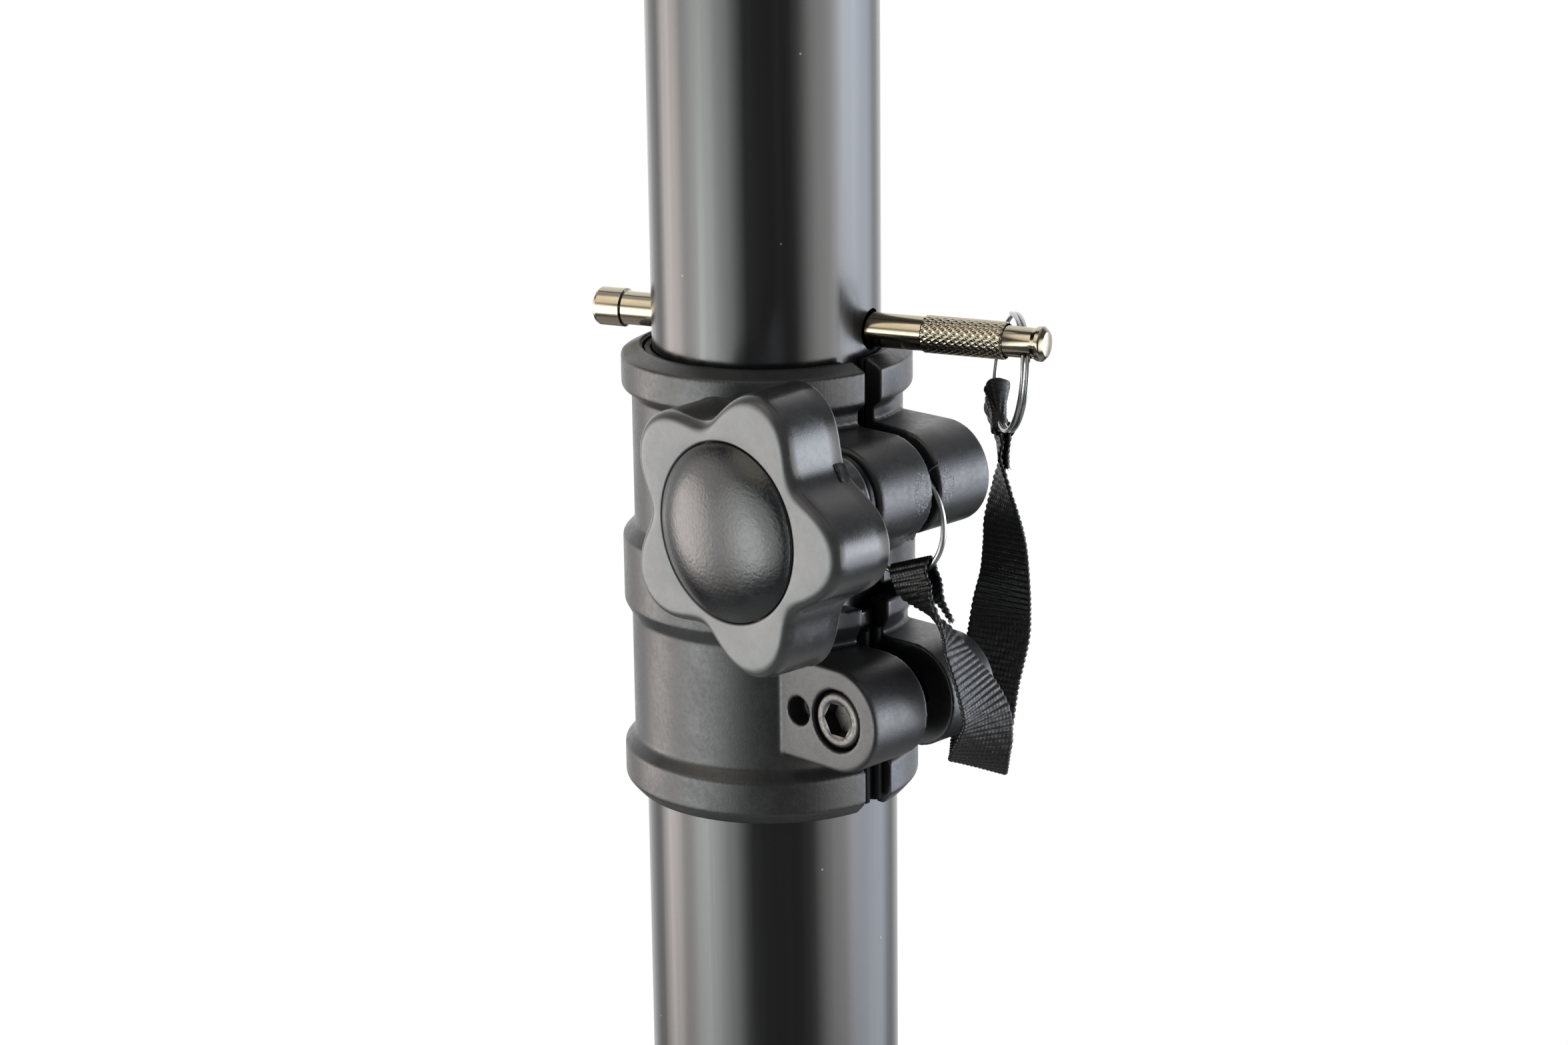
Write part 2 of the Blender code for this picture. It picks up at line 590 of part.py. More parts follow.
def brace_place(azimuth):
    """Frame of a brace: origin on the leg's tab, -Z towards the hub."""
    radius = PIVOT_RADIUS + LINK * math.sin(SPREAD)
    height = HUB_HEIGHT + LINK * math.cos(SPREAD)
    return (Matrix.Rotation(azimuth, 4, "Z") @ at(radius, 0.0, height) @ Matrix.Rotation(SPREAD, 4, "Y"))


def build_legs(steel, rubber, zinc):
    joint_down = -math.sqrt(LINK ** 2 - BRACE_OFFSET ** 2)
    bolt_hole = M8_RADIUS + GAP
    inner_side = LEG_SIDE - 2 * LEG_WALL
    floor_cut = box_outline(-1.0, 1.0, -1.0, 1.0)
    for number, azimuth in enumerate(LEG_AZIMUTHS, 1):
        pivot = empty("leg_pivot_%d" % number, leg_place(azimuth))

        def draw_leg(bm):
            outer = rounded_square(LEG_SIDE, 3.0 * MM)
            inner = rounded_square(inner_side, 1.5 * MM)
            loops = [[Vector((x, y, z)) for x, y in outline]
                     for outline, z in ((outer, LEG_ABOVE), (outer, -LEG_LENGTH), (inner, -LEG_LENGTH),
                                        (inner, LEG_ABOVE))]
            skin(bm, loops, ring=True)

        def draw_tab(bm):
            """The welded tab that carries the brace."""
            centre = (-BRACE_OFFSET, joint_down)
            root = -LEG_SIDE / 2 + LEG_WALL / 2
            outline = [(root, joint_down + 22.0 * MM)] + arc(centre, 9.0 * MM, 120.0, 240.0, 6)
            outline.append((root, joint_down - 22.0 * MM))
            prism(bm, outline, -TAB_HALF, TAB_HALF, UPRIGHT)

        def draw_leg_holes(bm):
            rod(bm, bolt_hole, -LEG_SIDE, LEG_SIDE, 12, UPRIGHT)
            rod(bm, RIVET_RADIUS + 0.4 * MM, -LEG_SIDE, LEG_SIDE, 12,
                at(-BRACE_OFFSET, 0.0, joint_down) @ UPRIGHT)

        leg = solid("leg_%d" % number, steel, draw_leg, pivot)
        join(leg, "leg_tab_%d" % number, draw_tab, pivot)
        cut(leg, "leg_holes_%d" % number, draw_leg_holes, pivot)

        def draw_foot(bm):
            outer = rounded_square(FOOT_SIDE, 6.0 * MM)
            small = rounded_square(FOOT_SIDE - 3.0 * MM, 5.0 * MM)
            pocket = rounded_square(LEG_SIDE + 2 * GAP, 3.0 * MM)
            rows = ((pocket, -LEG_LENGTH - GAP), (pocket, -FOOT_START), (small, -FOOT_START),
                    (outer, -FOOT_START - 4.0 * MM), (outer, -FOOT_END))
            skin(bm, [[Vector((x, y, z)) for x, y in outline] for outline, z in rows])

        foot = solid("foot_%d" % number, rubber, draw_foot, pivot)
        cut(foot, "floor_%d" % number, lambda bm: prism(bm, floor_cut, -0.2, 0.0))

        brace_pivot = empty("brace_pivot_%d" % number, brace_place(azimuth))

        def draw_flanges(bm):
            outline = arc((0.0, 0.0), STRIP_HALF, 0.0, 180.0, 8)
            outline += arc((0.0, -LINK), STRIP_HALF, 180.0, 360.0, 8)
            for low in (STRIP_START, -STRIP_START - STRIP_THICKNESS):
                prism(bm, outline, low, low + STRIP_THICKNESS, UPRIGHT)

        def draw_web(bm):
            """Joins the two flanges along the brace's underside, clear of both tabs."""
            half = STRIP_START + STRIP_THICKNESS
            outline = box_outline(STRIP_HALF - STRIP_THICKNESS, STRIP_HALF, -LINK + 40.0 * MM, -40.0 * MM)
            prism(bm, outline, -half, half, UPRIGHT)

        def draw_brace_holes(bm):
            for z in (0.0, -LINK):
                rod(bm, RIVET_RADIUS + GAP, -LEG_SIDE, LEG_SIDE, 12, at(0.0, 0.0, z) @ UPRIGHT)

        brace = solid("brace_%d" % number, steel, draw_flanges, brace_pivot)
        join(brace, "brace_web_%d" % number, draw_web, brace_pivot)
        cut(brace, "brace_holes_%d" % number, draw_brace_holes, brace_pivot)
        seat = STRIP_START + STRIP_THICKNESS + GAP
        for end, z in (("outer", 0.0), ("inner", -LINK)):
            place = at(0.0, 0.0, z) @ UPRIGHT
            solid("brace_%d_rivet_%s" % (number, end), zinc,
                  lambda bm: rivet(bm, RIVET_RADIUS, 6.5 * MM, seat, place), brace_pivot)


def rivet(bm, radius, head_radius, seat, place):
    """A pivot along local Z with a flat head on each end, from its seats outwards."""
    head = 2.3 * MM
    half = [(radius, seat), (head_radius, seat), (head_radius - 1.5 * MM, seat + head), (0.0, seat + head)]
    profile = [(r, -z) for r, z in reversed(half)] + half
    turned(bm, profile, 12, place, ring=False)


def skin_bolt(bm, head_rows, shank_rows):
    """A six-sided head whose seat carries a twelve-sided shank."""
    skin_open(bm, head_rows)
    seat = [bm.verts.new(point) for point in head_rows[-1]]
    shank = [bm.verts.new(point) for point in shank_rows[0]]
    for i in range(6):
        j = (i + 1) % 6
        bm.faces.new([seat[i], seat[j], shank[(2 * j) % 12], shank[2 * i + 1], shank[2 * i]])
    end = [bm.verts.new(point) for point in shank_rows[1]]
    for i in range(12):
        j = (i + 1) % 12
        bm.faces.new([shank[i], shank[j], end[j], end[i]])
    bm.faces.new(end)
    bmesh.ops.remove_doubles(bm, verts=bm.verts, dist=1e-7)


def skin_open(bm, rows):
    """Faces between loops, the first a pole and the last left open."""
    pole = bm.verts.new(rows[0][0])
    lower = [bm.verts.new(point) for point in rows[1]]
    upper = [bm.verts.new(point) for point in rows[2]]
    for i in range(6):
        j = (i + 1) % 6
        bm.faces.new([pole, lower[i], lower[j]])
        bm.faces.new([lower[i], lower[j], upper[j], upper[i]])


def lock_boss(obj, name, height, inner, face, hole):
    """A round boss towards -Y for a lock knob, with a hole for its stud or its threaded insert."""
    place = at(0.0, 0.0, height) @ UPRIGHT
    join(obj, name + "_boss", lambda bm: rod(bm, 11.0 * MM, inner + 2.0 * MM, face, 20, place))
    cut(obj, name + "_bore", lambda bm: rod(bm, hole, inner - 3.0 * MM, face + MM, 16, place))


def build_leg_collar(nylon, zinc, brass):
    height = LEG_COLLAR_HEIGHT
    bore = BASE_RADIUS + GAP
    profile = [(bore, height - SLEEVE_HALF), (SLEEVE_RADIUS - MM, height - SLEEVE_HALF),
               (SLEEVE_RADIUS, height - SLEEVE_HALF + MM), (SLEEVE_RADIUS, height + SLEEVE_HALF - MM),
               (SLEEVE_RADIUS - MM, height + SLEEVE_HALF), (bore, height + SLEEVE_HALF)]
    collar = solid("leg_collar", nylon, lambda bm: turned(bm, profile, ROUND_SEGMENTS))

    def draw_forks(bm):
        root = 18.5 * MM
        outline = [(root, -18.0 * MM)]
        outline += arc((PIVOT_RADIUS, 0.0), 11.0 * MM, -75.0, 75.0, 8)
        outline.append((root, 18.0 * MM))
        for azimuth in LEG_AZIMUTHS:
            place = Matrix.Rotation(azimuth, 4, "Z") @ at(0.0, 0.0, height) @ UPRIGHT
            for low in (EAR_START, -EAR_START - EAR_THICKNESS):
                prism(bm, outline, low, low + EAR_THICKNESS, place)

    def draw_fork_holes(bm):
        for azimuth in LEG_AZIMUTHS:
            rod(bm, M8_RADIUS + GAP, -30.0 * MM, 30.0 * MM, 12, leg_place(azimuth) @ UPRIGHT)

    join(collar, "forks", draw_forks)
    cut(collar, "fork_holes", draw_fork_holes)
    lock_boss(collar, "leg_lock", height, bore, 40.0 * MM, 6.5 * MM)
    cut(collar, "sleeve_bore", lambda bm: rod(bm, bore, height - 0.1, height + 0.1, ROUND_SEGMENTS))
    seat = EAR_START + EAR_THICKNESS + GAP
    for number, azimuth in enumerate(LEG_AZIMUTHS, 1):
        place = Matrix.Rotation(azimuth, 4, "Z") @ at(PIVOT_RADIUS, 0.0, height) @ UPRIGHT
        solid("leg_rivet_%d" % number, zinc, lambda bm: rivet(bm, M8_RADIUS, 7.5 * MM, seat, place))
    insert = [(M8_RADIUS + GAP, bore + 1.5 * MM), (6.2 * MM, bore + 1.5 * MM), (6.2 * MM, 39.7 * MM),
              (M8_RADIUS + GAP, 39.7 * MM)]
    solid("leg_knob_nut", brass, lambda bm: turned(bm, insert, 16, at(0.0, 0.0, height) @ UPRIGHT))


def build_hub(nylon, blacked):
    """Fixed ring low on the base tube. Each tab has a slot, open below, that a brace's rivet seats in."""
    bore = BASE_RADIUS + GAP
    low = HUB_HEIGHT - 18.0 * MM
    high = HUB_HEIGHT + 18.0 * MM
    profile = [(bore, low), (SLEEVE_RADIUS, low), (SLEEVE_RADIUS, high), (bore, high)]
    hub = solid("hub", nylon, lambda bm: turned(bm, profile, ROUND_SEGMENTS))
    slot_half = RIVET_RADIUS + 0.4 * MM

    def draw_tabs(bm):
        outline = ([(25.0 * MM, HUB_HEIGHT - 14.0 * MM), (PIVOT_RADIUS + 4.0 * MM, HUB_HEIGHT - 14.0 * MM)]
                   + arc((PIVOT_RADIUS, HUB_HEIGHT), 10.0 * MM, -40.0, 100.0, 7)
                   + [(25.0 * MM, HUB_HEIGHT + 15.0 * MM)])
        for azimuth in LEG_AZIMUTHS:
            prism(bm, outline, -TAB_HALF, TAB_HALF, Matrix.Rotation(azimuth, 4, "Z") @ UPRIGHT)

    def draw_slots(bm):
        open_end = HUB_HEIGHT - 30.0 * MM
        outline = [(PIVOT_RADIUS - slot_half, open_end), (PIVOT_RADIUS + slot_half, open_end)]
        outline += arc((PIVOT_RADIUS, HUB_HEIGHT), slot_half, 0.0, 180.0, 6)
        for azimuth in LEG_AZIMUTHS:
            prism(bm, outline, -10.0 * MM, 10.0 * MM, Matrix.Rotation(azimuth, 4, "Z") @ UPRIGHT)

    place = at(0.0, 0.0, HUB_HEIGHT) @ UPRIGHT
    join(hub, "hub_tabs", draw_tabs)
    cut(hub, "hub_slots", draw_slots)
    cut(hub, "hub_screw_hole", lambda bm: rod(bm, M6_RADIUS + GAP, 20.0 * MM, 32.0 * MM, 12, place))
    solid("hub_screw", blacked, lambda bm: rod(bm, M6_RADIUS, bore + GAP, SLEEVE_RADIUS - GAP, 12, place))


def hex_bolt(bm, radius, flats, head, length, place):
    """A bolt along local -Z from its head's seat at zero."""
    corner = flats / math.sqrt(3.0)
    head_rows = [circle(r, z, 6, place) for r, z in ((0.0, head), (corner, head), (corner, 0.0))]
    shank_rows = [circle(radius, z, 12, place) for z in (0.0, -length)]
    skin_bolt(bm, head_rows, shank_rows)


def build_tbar(steel, nylon, zinc):
    """The crossbar is welded on a socket that slips over the mast's top."""
    bore = MAST_RADIUS + 0.4 * MM
    plate_low = MAST_TOP + GAP
    plate_high = plate_low + SOCKET_PLATE
    bar_low = plate_high - 0.5 * MM
    bar_high = bar_low + CROSSBAR_SIDE
    lamp_hole = M10_RADIUS + GAP
    half = CROSSBAR_LENGTH / 2
    along_x = at(0.0, 0.0, (bar_low + bar_high) / 2) @ Matrix.Rotation(math.radians(90.0), 4, "Y")

    def draw_bar(bm):
        outer = rounded_square(CROSSBAR_SIDE, 3.0 * MM)
        inner = rounded_square(CROSSBAR_SIDE - 2 * CROSSBAR_WALL, 1.5 * MM)
        rows = ((outer, -half), (outer, half), (inner, half), (inner, -half))
        skin(bm, [[along_x @ Vector((x, y, z)) for x, y in outline] for outline, z in rows], ring=True)

    def draw_lamp_holes(bm):
        for x in LAMP_BOLT_PLACES:
            rod(bm, lamp_hole, bar_low - 5.0 * MM, bar_high + 5.0 * MM, 12, at(x, 0.0, 0.0))

    tube = [(0.0, plate_low), (bore, plate_low), (bore, SOCKET_BOTTOM), (SOCKET_RADIUS, SOCKET_BOTTOM),
            (SOCKET_RADIUS, plate_high - MM), (0.0, plate_high - MM)]
    plate = box_outline(-45.0 * MM, 45.0 * MM, -19.0 * MM, 19.0 * MM)
    lock_height = SOCKET_BOTTOM + 30.0 * MM
    tbar = solid("tbar", steel, draw_bar)
    join(tbar, "socket_tube", lambda bm: turned(bm, tube, ROUND_SEGMENTS, ring=False))
    join(tbar, "socket_plate", lambda bm: prism(bm, plate, plate_low, plate_high))
    lock_boss(tbar, "tbar_lock", lock_height, bore, 36.0 * MM, M8_RADIUS + GAP)
    cut(tbar, "socket_bore", lambda bm: rod(bm, bore, SOCKET_BOTTOM - MM, plate_low, ROUND_SEGMENTS))
    cut(tbar, "lamp_holes", draw_lamp_holes)

    for name, side in (("tbar_cap_left", -1), ("tbar_cap_right", 1)):
        def draw_bar_cap(bm):
            outer = rounded_square(CROSSBAR_SIDE, 3.0 * MM)
            face = rounded_square(CROSSBAR_SIDE - 2.0 * MM, 2.5 * MM)
            inner = rounded_square(CROSSBAR_SIDE - 2 * CROSSBAR_WALL - 2 * GAP, 1.5 * MM)
            rows = ((inner, half - 12.0 * MM), (inner, half + GAP), (outer, half + GAP),
                    (outer, half + 2.5 * MM), (face, half + 3.5 * MM))
            skin(bm, [[along_x @ Vector((x, y, side * z)) for x, y in outline] for outline, z in rows])
        solid(name, nylon, draw_bar_cap)

    for number, x in enumerate(LAMP_BOLT_PLACES, 1):
        place = at(x, 0.0, 0.0)
        seat = bar_high + GAP
        nut_top = bar_low - GAP
        solid("lamp_bolt_%d" % number, zinc,
              lambda bm: hex_bolt(bm, M10_RADIUS, M10_FLATS, 6.4 * MM, 72.0 * MM, at(0.0, 0.0, seat) @ place))
        solid("lamp_nut_%d" % number, zinc,
              lambda bm: nut(bm, M10_FLATS, lamp_hole, nut_top - M10_NUT, nut_top, place))
    return lock_height


def build_stand():
    clear_scene()
    coated = material("black_coated_steel", (0.018, 0.018, 0.020), 0.32, 0.3)
    nylon = material("black_nylon", (0.028, 0.028, 0.030), 0.55)
    liner = material("black_liner", (0.008, 0.008, 0.009), 0.6)
    knob_plastic = material("knob_plastic", (0.050, 0.050, 0.053), 0.42)
    cap_plastic = material("cap_plastic", (0.022, 0.023, 0.025), 0.35)
    blacked = material("black_oxide_steel", (0.02, 0.02, 0.022), 0.35, 0.8)
    plated = material("nickel_plate", (0.72, 0.68, 0.60), 0.15, 1.0)
    zinc = material("zinc_plate", (0.55, 0.55, 0.56), 0.35, 1.0)
    brass = material("brass", (0.60, 0.45, 0.20), 0.3, 1.0)
    webbing = material("polyester_webbing", (0.008, 0.008, 0.009), 0.9)
    rubber = material("black_rubber", (0.015, 0.015, 0.015), 0.8)

    build_tubes(coated, nylon)
    clamp = empty("clamp_centre", at(0.0, 0.0, COLLAR_TOP))
    build_collar(nylon, liner, blacked, zinc, clamp)
    build_pin(plated, clamp)
    build_strap(webbing, clamp)
    build_leg_collar(nylon, zinc, brass)
    build_hub(nylon, blacked)
    build_legs(coated, rubber, zinc)
    lock_height = build_tbar(coated, nylon, zinc)

    mast_knob = {"lobe": 24.8 * MM, "notch": 18.7 * MM, "thickness": 12.4 * MM, "hub": 8.6 * MM,
                 "hub_length": 14.8 * MM, "cap": 15.3 * MM, "cap_rise": 4.6 * MM, "stud": M6_RADIUS,
                 "reach": 26.6 * MM, "washer": 8.2 * MM, "points_per_lobe": 8}
    lock_knob = dict(mast_knob, hub_length=12.0 * MM, stud=M8_RADIUS, washer=9.0 * MM, points_per_lobe=6)
    knob_turn = Matrix.Rotation(math.radians(-1.4), 4, "Z")
    axis_x, axis_z = UPPER_EAR_AXIS
    mast_seat = empty("clamp_knob_axis",
                      at(axis_x, UPPER_EAR_FRONT, COLLAR_TOP + axis_z) @ UPRIGHT @ knob_turn)
    star_knob("clamp_", mast_seat, knob_plastic, cap_plastic, blacked, blacked, mast_knob)
    leg_seat = empty("leg_knob_axis", at(0.0, -40.0 * MM, LEG_COLLAR_HEIGHT) @ UPRIGHT)
    star_knob("leg_", leg_seat, knob_plastic, cap_plastic, zinc, blacked,
              dict(lock_knob, reach=40.0 * MM - BASE_RADIUS - GAP))
    tbar_seat = empty("tbar_knob_axis", at(0.0, -36.0 * MM, lock_height) @ UPRIGHT)
    star_knob("tbar_", tbar_seat, knob_plastic, cap_plastic, zinc, blacked,
              dict(lock_knob, reach=36.0 * MM - MAST_RADIUS - GAP))


build_stand()
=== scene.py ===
# %% [markdown]
# # Dressing a lighting stand
#
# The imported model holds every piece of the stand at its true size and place, but with plain faceted
# shapes. This script gives it its looks. Hard turned and moulded pieces are made again as smoother
# meshes in the same places, what repeats is grown with Geometry Nodes, and each material is built
# from nodes after the real finish. Everything is in metres, +Z is up, and the clamp's slit faces +X.
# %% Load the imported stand
import json
import math
import random

import bmesh
import bpy
from mathutils import Matrix, Vector


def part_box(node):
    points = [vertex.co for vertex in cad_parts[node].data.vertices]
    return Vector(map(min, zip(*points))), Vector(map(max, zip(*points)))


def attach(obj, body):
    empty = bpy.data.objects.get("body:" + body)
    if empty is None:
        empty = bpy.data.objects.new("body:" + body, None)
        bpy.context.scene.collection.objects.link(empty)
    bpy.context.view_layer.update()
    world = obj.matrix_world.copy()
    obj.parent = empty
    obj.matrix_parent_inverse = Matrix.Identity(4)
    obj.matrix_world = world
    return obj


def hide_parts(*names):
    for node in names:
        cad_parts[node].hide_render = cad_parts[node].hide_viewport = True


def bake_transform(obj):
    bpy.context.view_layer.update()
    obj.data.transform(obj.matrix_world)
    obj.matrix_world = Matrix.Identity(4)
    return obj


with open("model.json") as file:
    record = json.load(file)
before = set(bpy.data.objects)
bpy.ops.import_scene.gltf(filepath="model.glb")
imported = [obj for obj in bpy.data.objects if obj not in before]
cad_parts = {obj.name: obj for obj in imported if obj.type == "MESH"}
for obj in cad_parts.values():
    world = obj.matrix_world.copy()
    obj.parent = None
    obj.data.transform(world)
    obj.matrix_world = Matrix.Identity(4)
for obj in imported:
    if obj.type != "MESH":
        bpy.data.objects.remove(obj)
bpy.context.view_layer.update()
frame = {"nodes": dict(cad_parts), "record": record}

MM = 0.001
RIM_HEIGHT = 1.5 * MM
CLAMP_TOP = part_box("collar")[1].z - RIM_HEIGHT

# %% [markdown]
# ## The camera
#
# The photograph looks down at the clamp from its front left, at the height of a standing person's
# chest. The tubes converge only a little, so the lens is a long one. A camera in Blender looks along
# its own -Z, so it is first stood up, then turned to its heading, and its small roll comes last.
# %% Stand the camera where the photograph was taken
PHOTO_WIDTH = 2352
FOCAL_PIXELS = 5000.0
SENSOR_WIDTH = 36.0
EYE = Vector((0.39974, -0.40254, 1.48894))
HEADING = math.radians(44.534)
LOOK_DOWN = math.radians(15.792)
ROLL = math.radians(-0.713)

camera_data = bpy.data.cameras.new("photo_camera")
camera_data.sensor_width = SENSOR_WIDTH
camera_data.lens = FOCAL_PIXELS / PHOTO_WIDTH * SENSOR_WIDTH
camera_data.clip_start = 0.01
camera = bpy.data.objects.new("photo_camera", camera_data)
bpy.context.scene.collection.objects.link(camera)
camera.matrix_world = (Matrix.Translation(EYE) @ Matrix.Rotation(HEADING, 4, "Z")
                       @ Matrix.Rotation(math.radians(90.0) - LOOK_DOWN, 4, "X")
                       @ Matrix.Rotation(ROLL, 4, "Z"))
bpy.context.scene.camera = camera
bpy.context.scene.view_settings.view_transform = "Standard"
print("lens", round(camera_data.lens, 1), "mm, eye", [round(value, 3) for value in EYE])

# %% [markdown]
# ## Helpers for every node tree
#
# A material, the world and a Geometry Nodes tree are all built the same way: add a node, set its
# properties, and fill its sockets with numbers or with the outputs of other nodes. One function does
# all of that, so each tree below reads as a list of its nodes. The kinds that are needed most get a
# short function each, which gives back the node's output. Colours are written as on a paint chart, in
# sRGB hex, and turned to the linear values that the shader wants.
# %% Helpers for nodes and colours
def feed(node, inputs):
    """Fill a node's sockets: a number is typed in, and another node's output is plugged in."""
    for socket, value in inputs.items():
        if isinstance(value, bpy.types.NodeSocket):
            node.id_data.links.new(value, node.inputs[socket])
        else:
            node.inputs[socket].default_value = value


def add_node(tree, kind, inputs=None, **settings):
    """Add one node, set its properties and fill its sockets."""
    node = tree.nodes.new(kind)
    for name, value in settings.items():
        setattr(node, name, value)
    feed(node, inputs or {})
    return node


def calc(tree, operation, *inputs):
    """The result of one Math node."""
    return add_node(tree, "ShaderNodeMath", dict(enumerate(inputs)), operation=operation).outputs[0]


def vector_calc(tree, operation, *inputs, **named):
    """The result of one Vector Math node: a number for a length, otherwise a vector."""
    node = add_node(tree, "ShaderNodeVectorMath", {**dict(enumerate(inputs)), **named}, operation=operation)
    return node.outputs["Value" if operation == "LENGTH" else "Vector"]


def xyz(tree, **axes):
    """A vector put together from numbers or outputs."""
    return add_node(tree, "ShaderNodeCombineXYZ", axes).outputs[0]


def remap(tree, value, low, high, to_low=0.0, to_high=1.0, curve="LINEAR"):
    """A value mapped from one range to another, and held beyond its ends."""
    ranges = {"Value": value, "From Min": low, "From Max": high, "To Min": to_low, "To Max": to_high}
    return add_node(tree, "ShaderNodeMapRange", ranges, interpolation_type=curve).outputs["Result"]


def mix(tree, factor, first, second):
    """Two colours mixed."""
    colours = {"Factor": factor, "A": first, "B": second}
    return add_node(tree, "ShaderNodeMix", colours, data_type="RGBA").outputs["Result"]


def linear(hex_colour):
    """An sRGB hex colour as linear red, green, blue and alpha."""
    channels = [int(hex_colour[i:i + 2], 16) / 255.0 for i in (1, 3, 5)]
    return [c / 12.92 if c <= 0.04045 else ((c + 0.055) / 1.055) ** 2.4 for c in channels] + [1.0]


# %% [markdown]
# ## Light and background
#
# The clamp was lit in a white studio: broad soft lights low on both sides, a white sweep behind, and
# a dim room behind the camera. On black pieces nearly all that the eye sees is this room mirrored in
# the finish, so where each light stands matters more than how strong it is. The world shader holds the
# room as soft round patches of light. Each patch is a direction, a width and a strength, and a loop
# adds them up. Matt surfaces also get an even bounce from the white walls, which mirror-like ones
# don't show, because the walls behind the camera were in the dark. The camera itself sees plain white.
# %% Soft lights as patches on the world
PATCHES = [
    # name, azimuth, elevation, half width in degrees, strength, colour
    ("left side light", -150.0, -12.0, 14.0, 4.3, "#fff5ef"),
    ("left side haze", -138.0, -8.0, 30.0, 2.6, "#fffaf7"),
    ("left front haze", -100.0, -12.0, 25.0, 4.0, "#fafffd"),
    ("left front light", -106.0, -16.0, 11.5, 3.6, "#fafffd"),
    ("left upper glow", -108.0, 42.0, 20.0, 1.8, "#fff4df"),
    ("right front light", 19.0, -6.0, 24.0, 3.9, "#fffdfb"),
    ("right side haze", 56.0, -8.0, 27.0, 4.6, "#eaf2ff"),
    ("right side light", 50.0, 1.0, 14.0, 4.5, "#eaf2ff"),
    ("white sweep", 137.0, 12.0, 50.0, 1.35, "#ffffff"),
    ("ceiling", 0.0, 90.0, 40.0, 0.6, "#ffffff"),
]
ROOM_LEVEL = 0.14
BOUNCE_LEVEL = 0.6
# a patch is full up to the first share of its half width, and gone from the second one on
CORE_SHARE, EDGE_SHARE = 0.45, 1.35
# the lamps stand on the studio floor: below this band of elevations little of them is left
LAMP_FOOT_LOW, LAMP_FOOT_HIGH, LEVEL_BELOW = -38.0, -24.0, 0.2


def direction(azimuth, elevation):
    """Unit vector from angles in degrees; azimuth 0 is +X and 90 is +Y."""
    a, e = math.radians(azimuth), math.radians(elevation)
    return Vector((math.cos(a) * math.cos(e), math.sin(a) * math.cos(e), math.sin(e)))


world = bpy.data.worlds.new("studio")
world.use_nodes = True
bpy.context.scene.world = world
tree = world.node_tree
tree.nodes.clear()
looking = add_node(tree, "ShaderNodeTexCoord").outputs["Generated"]
total = (ROOM_LEVEL,) * 3
for name, azimuth, elevation, half_width, strength, colour in PATCHES:
    towards = add_node(tree, "ShaderNodeVectorMath", {0: looking, 1: direction(azimuth, elevation)},
                       operation="DOT_PRODUCT", label=name)
    inner = math.cos(math.radians(half_width * CORE_SHARE))
    outer = math.cos(math.radians(half_width * EDGE_SHARE))
    patch = remap(tree, towards.outputs["Value"], outer, inner, 0.0, strength, "SMOOTHSTEP")
    tinted = vector_calc(tree, "SCALE", linear(colour)[:3], Scale=patch)
    total = vector_calc(tree, "ADD", tinted, total)
height = add_node(tree, "ShaderNodeSeparateXYZ", {0: looking}).outputs["Z"]
foot_low, foot_high = (math.sin(math.radians(angle)) for angle in (LAMP_FOOT_LOW, LAMP_FOOT_HIGH))
band = remap(tree, height, foot_low, foot_high, LEVEL_BELOW, 1.0, "SMOOTHSTEP")
path = add_node(tree, "ShaderNodeLightPath").outputs
bounce = vector_calc(tree, "SCALE", (BOUNCE_LEVEL,) * 3, Scale=path["Is Diffuse Ray"])
lit = vector_calc(tree, "ADD", vector_calc(tree, "SCALE", total, Scale=band), bounce)
room = add_node(tree, "ShaderNodeBackground", {"Color": lit})
white = add_node(tree, "ShaderNodeBackground", {"Color": (1.0, 1.0, 1.0, 1.0), "Strength": 1.0})
seen = add_node(tree, "ShaderNodeMixShader",
                {0: path["Is Camera Ray"], 1: room.outputs[0], 2: white.outputs[0]})
add_node(tree, "ShaderNodeOutputWorld", {"Surface": seen.outputs[0]})
print("studio holds", len(PATCHES), "soft lights")

# %% [markdown]
# ## The floor
#
# The stand needs something to stand on in the wide views, but the photograph shows only white. A pale
# disc takes the stand's shadow and fades out towards its rim, so no horizon shows. In the black
# nylon the photograph shows no bright floor either, so reflections meet a greyer paper.
# %% A pale floor that fades into the white
FLOOR_RADIUS = 1.9
FLOOR_DEPTH = 0.2 * MM
FADE_START, FADE_END = 0.9, FLOOR_RADIUS * 0.97
FIBRES_PER_METRE = 900.0

bm = bmesh.new()
bmesh.ops.create_circle(bm, cap_ends=True, radius=FLOOR_RADIUS, segments=96)
floor_mesh = bpy.data.meshes.new("floor")
bm.to_mesh(floor_mesh)
bm.free()
floor = bpy.data.objects.new("floor", floor_mesh)
floor.location.z = -FLOOR_DEPTH
bpy.context.scene.collection.objects.link(floor)
paper = bpy.data.materials.new("pale_paper_sweep")
paper.use_nodes = True
tree = paper.node_tree
tree.nodes.clear()
place = add_node(tree, "ShaderNodeTexCoord").outputs["Object"]
fade = remap(tree, vector_calc(tree, "LENGTH", place), FADE_START, FADE_END, curve="SMOOTHSTEP")
fibre = add_node(tree, "ShaderNodeTexNoise", {"Vector": place, "Scale": FIBRES_PER_METRE, "Detail": 2.0})
tone = mix(tree, fibre.outputs["Fac"], linear("#f1f1f0"), linear("#f8f8f8"))
mirrored = add_node(tree, "ShaderNodeLightPath").outputs["Is Glossy Ray"]
matt = add_node(tree, "ShaderNodeBsdfDiffuse", {"Color": mix(tree, mirrored, tone, linear("#9c9c9c"))})
clear = add_node(tree, "ShaderNodeBsdfTransparent")
seen = add_node(tree, "ShaderNodeMixShader", {0: fade, 1: matt.outputs[0], 2: clear.outputs[0]})
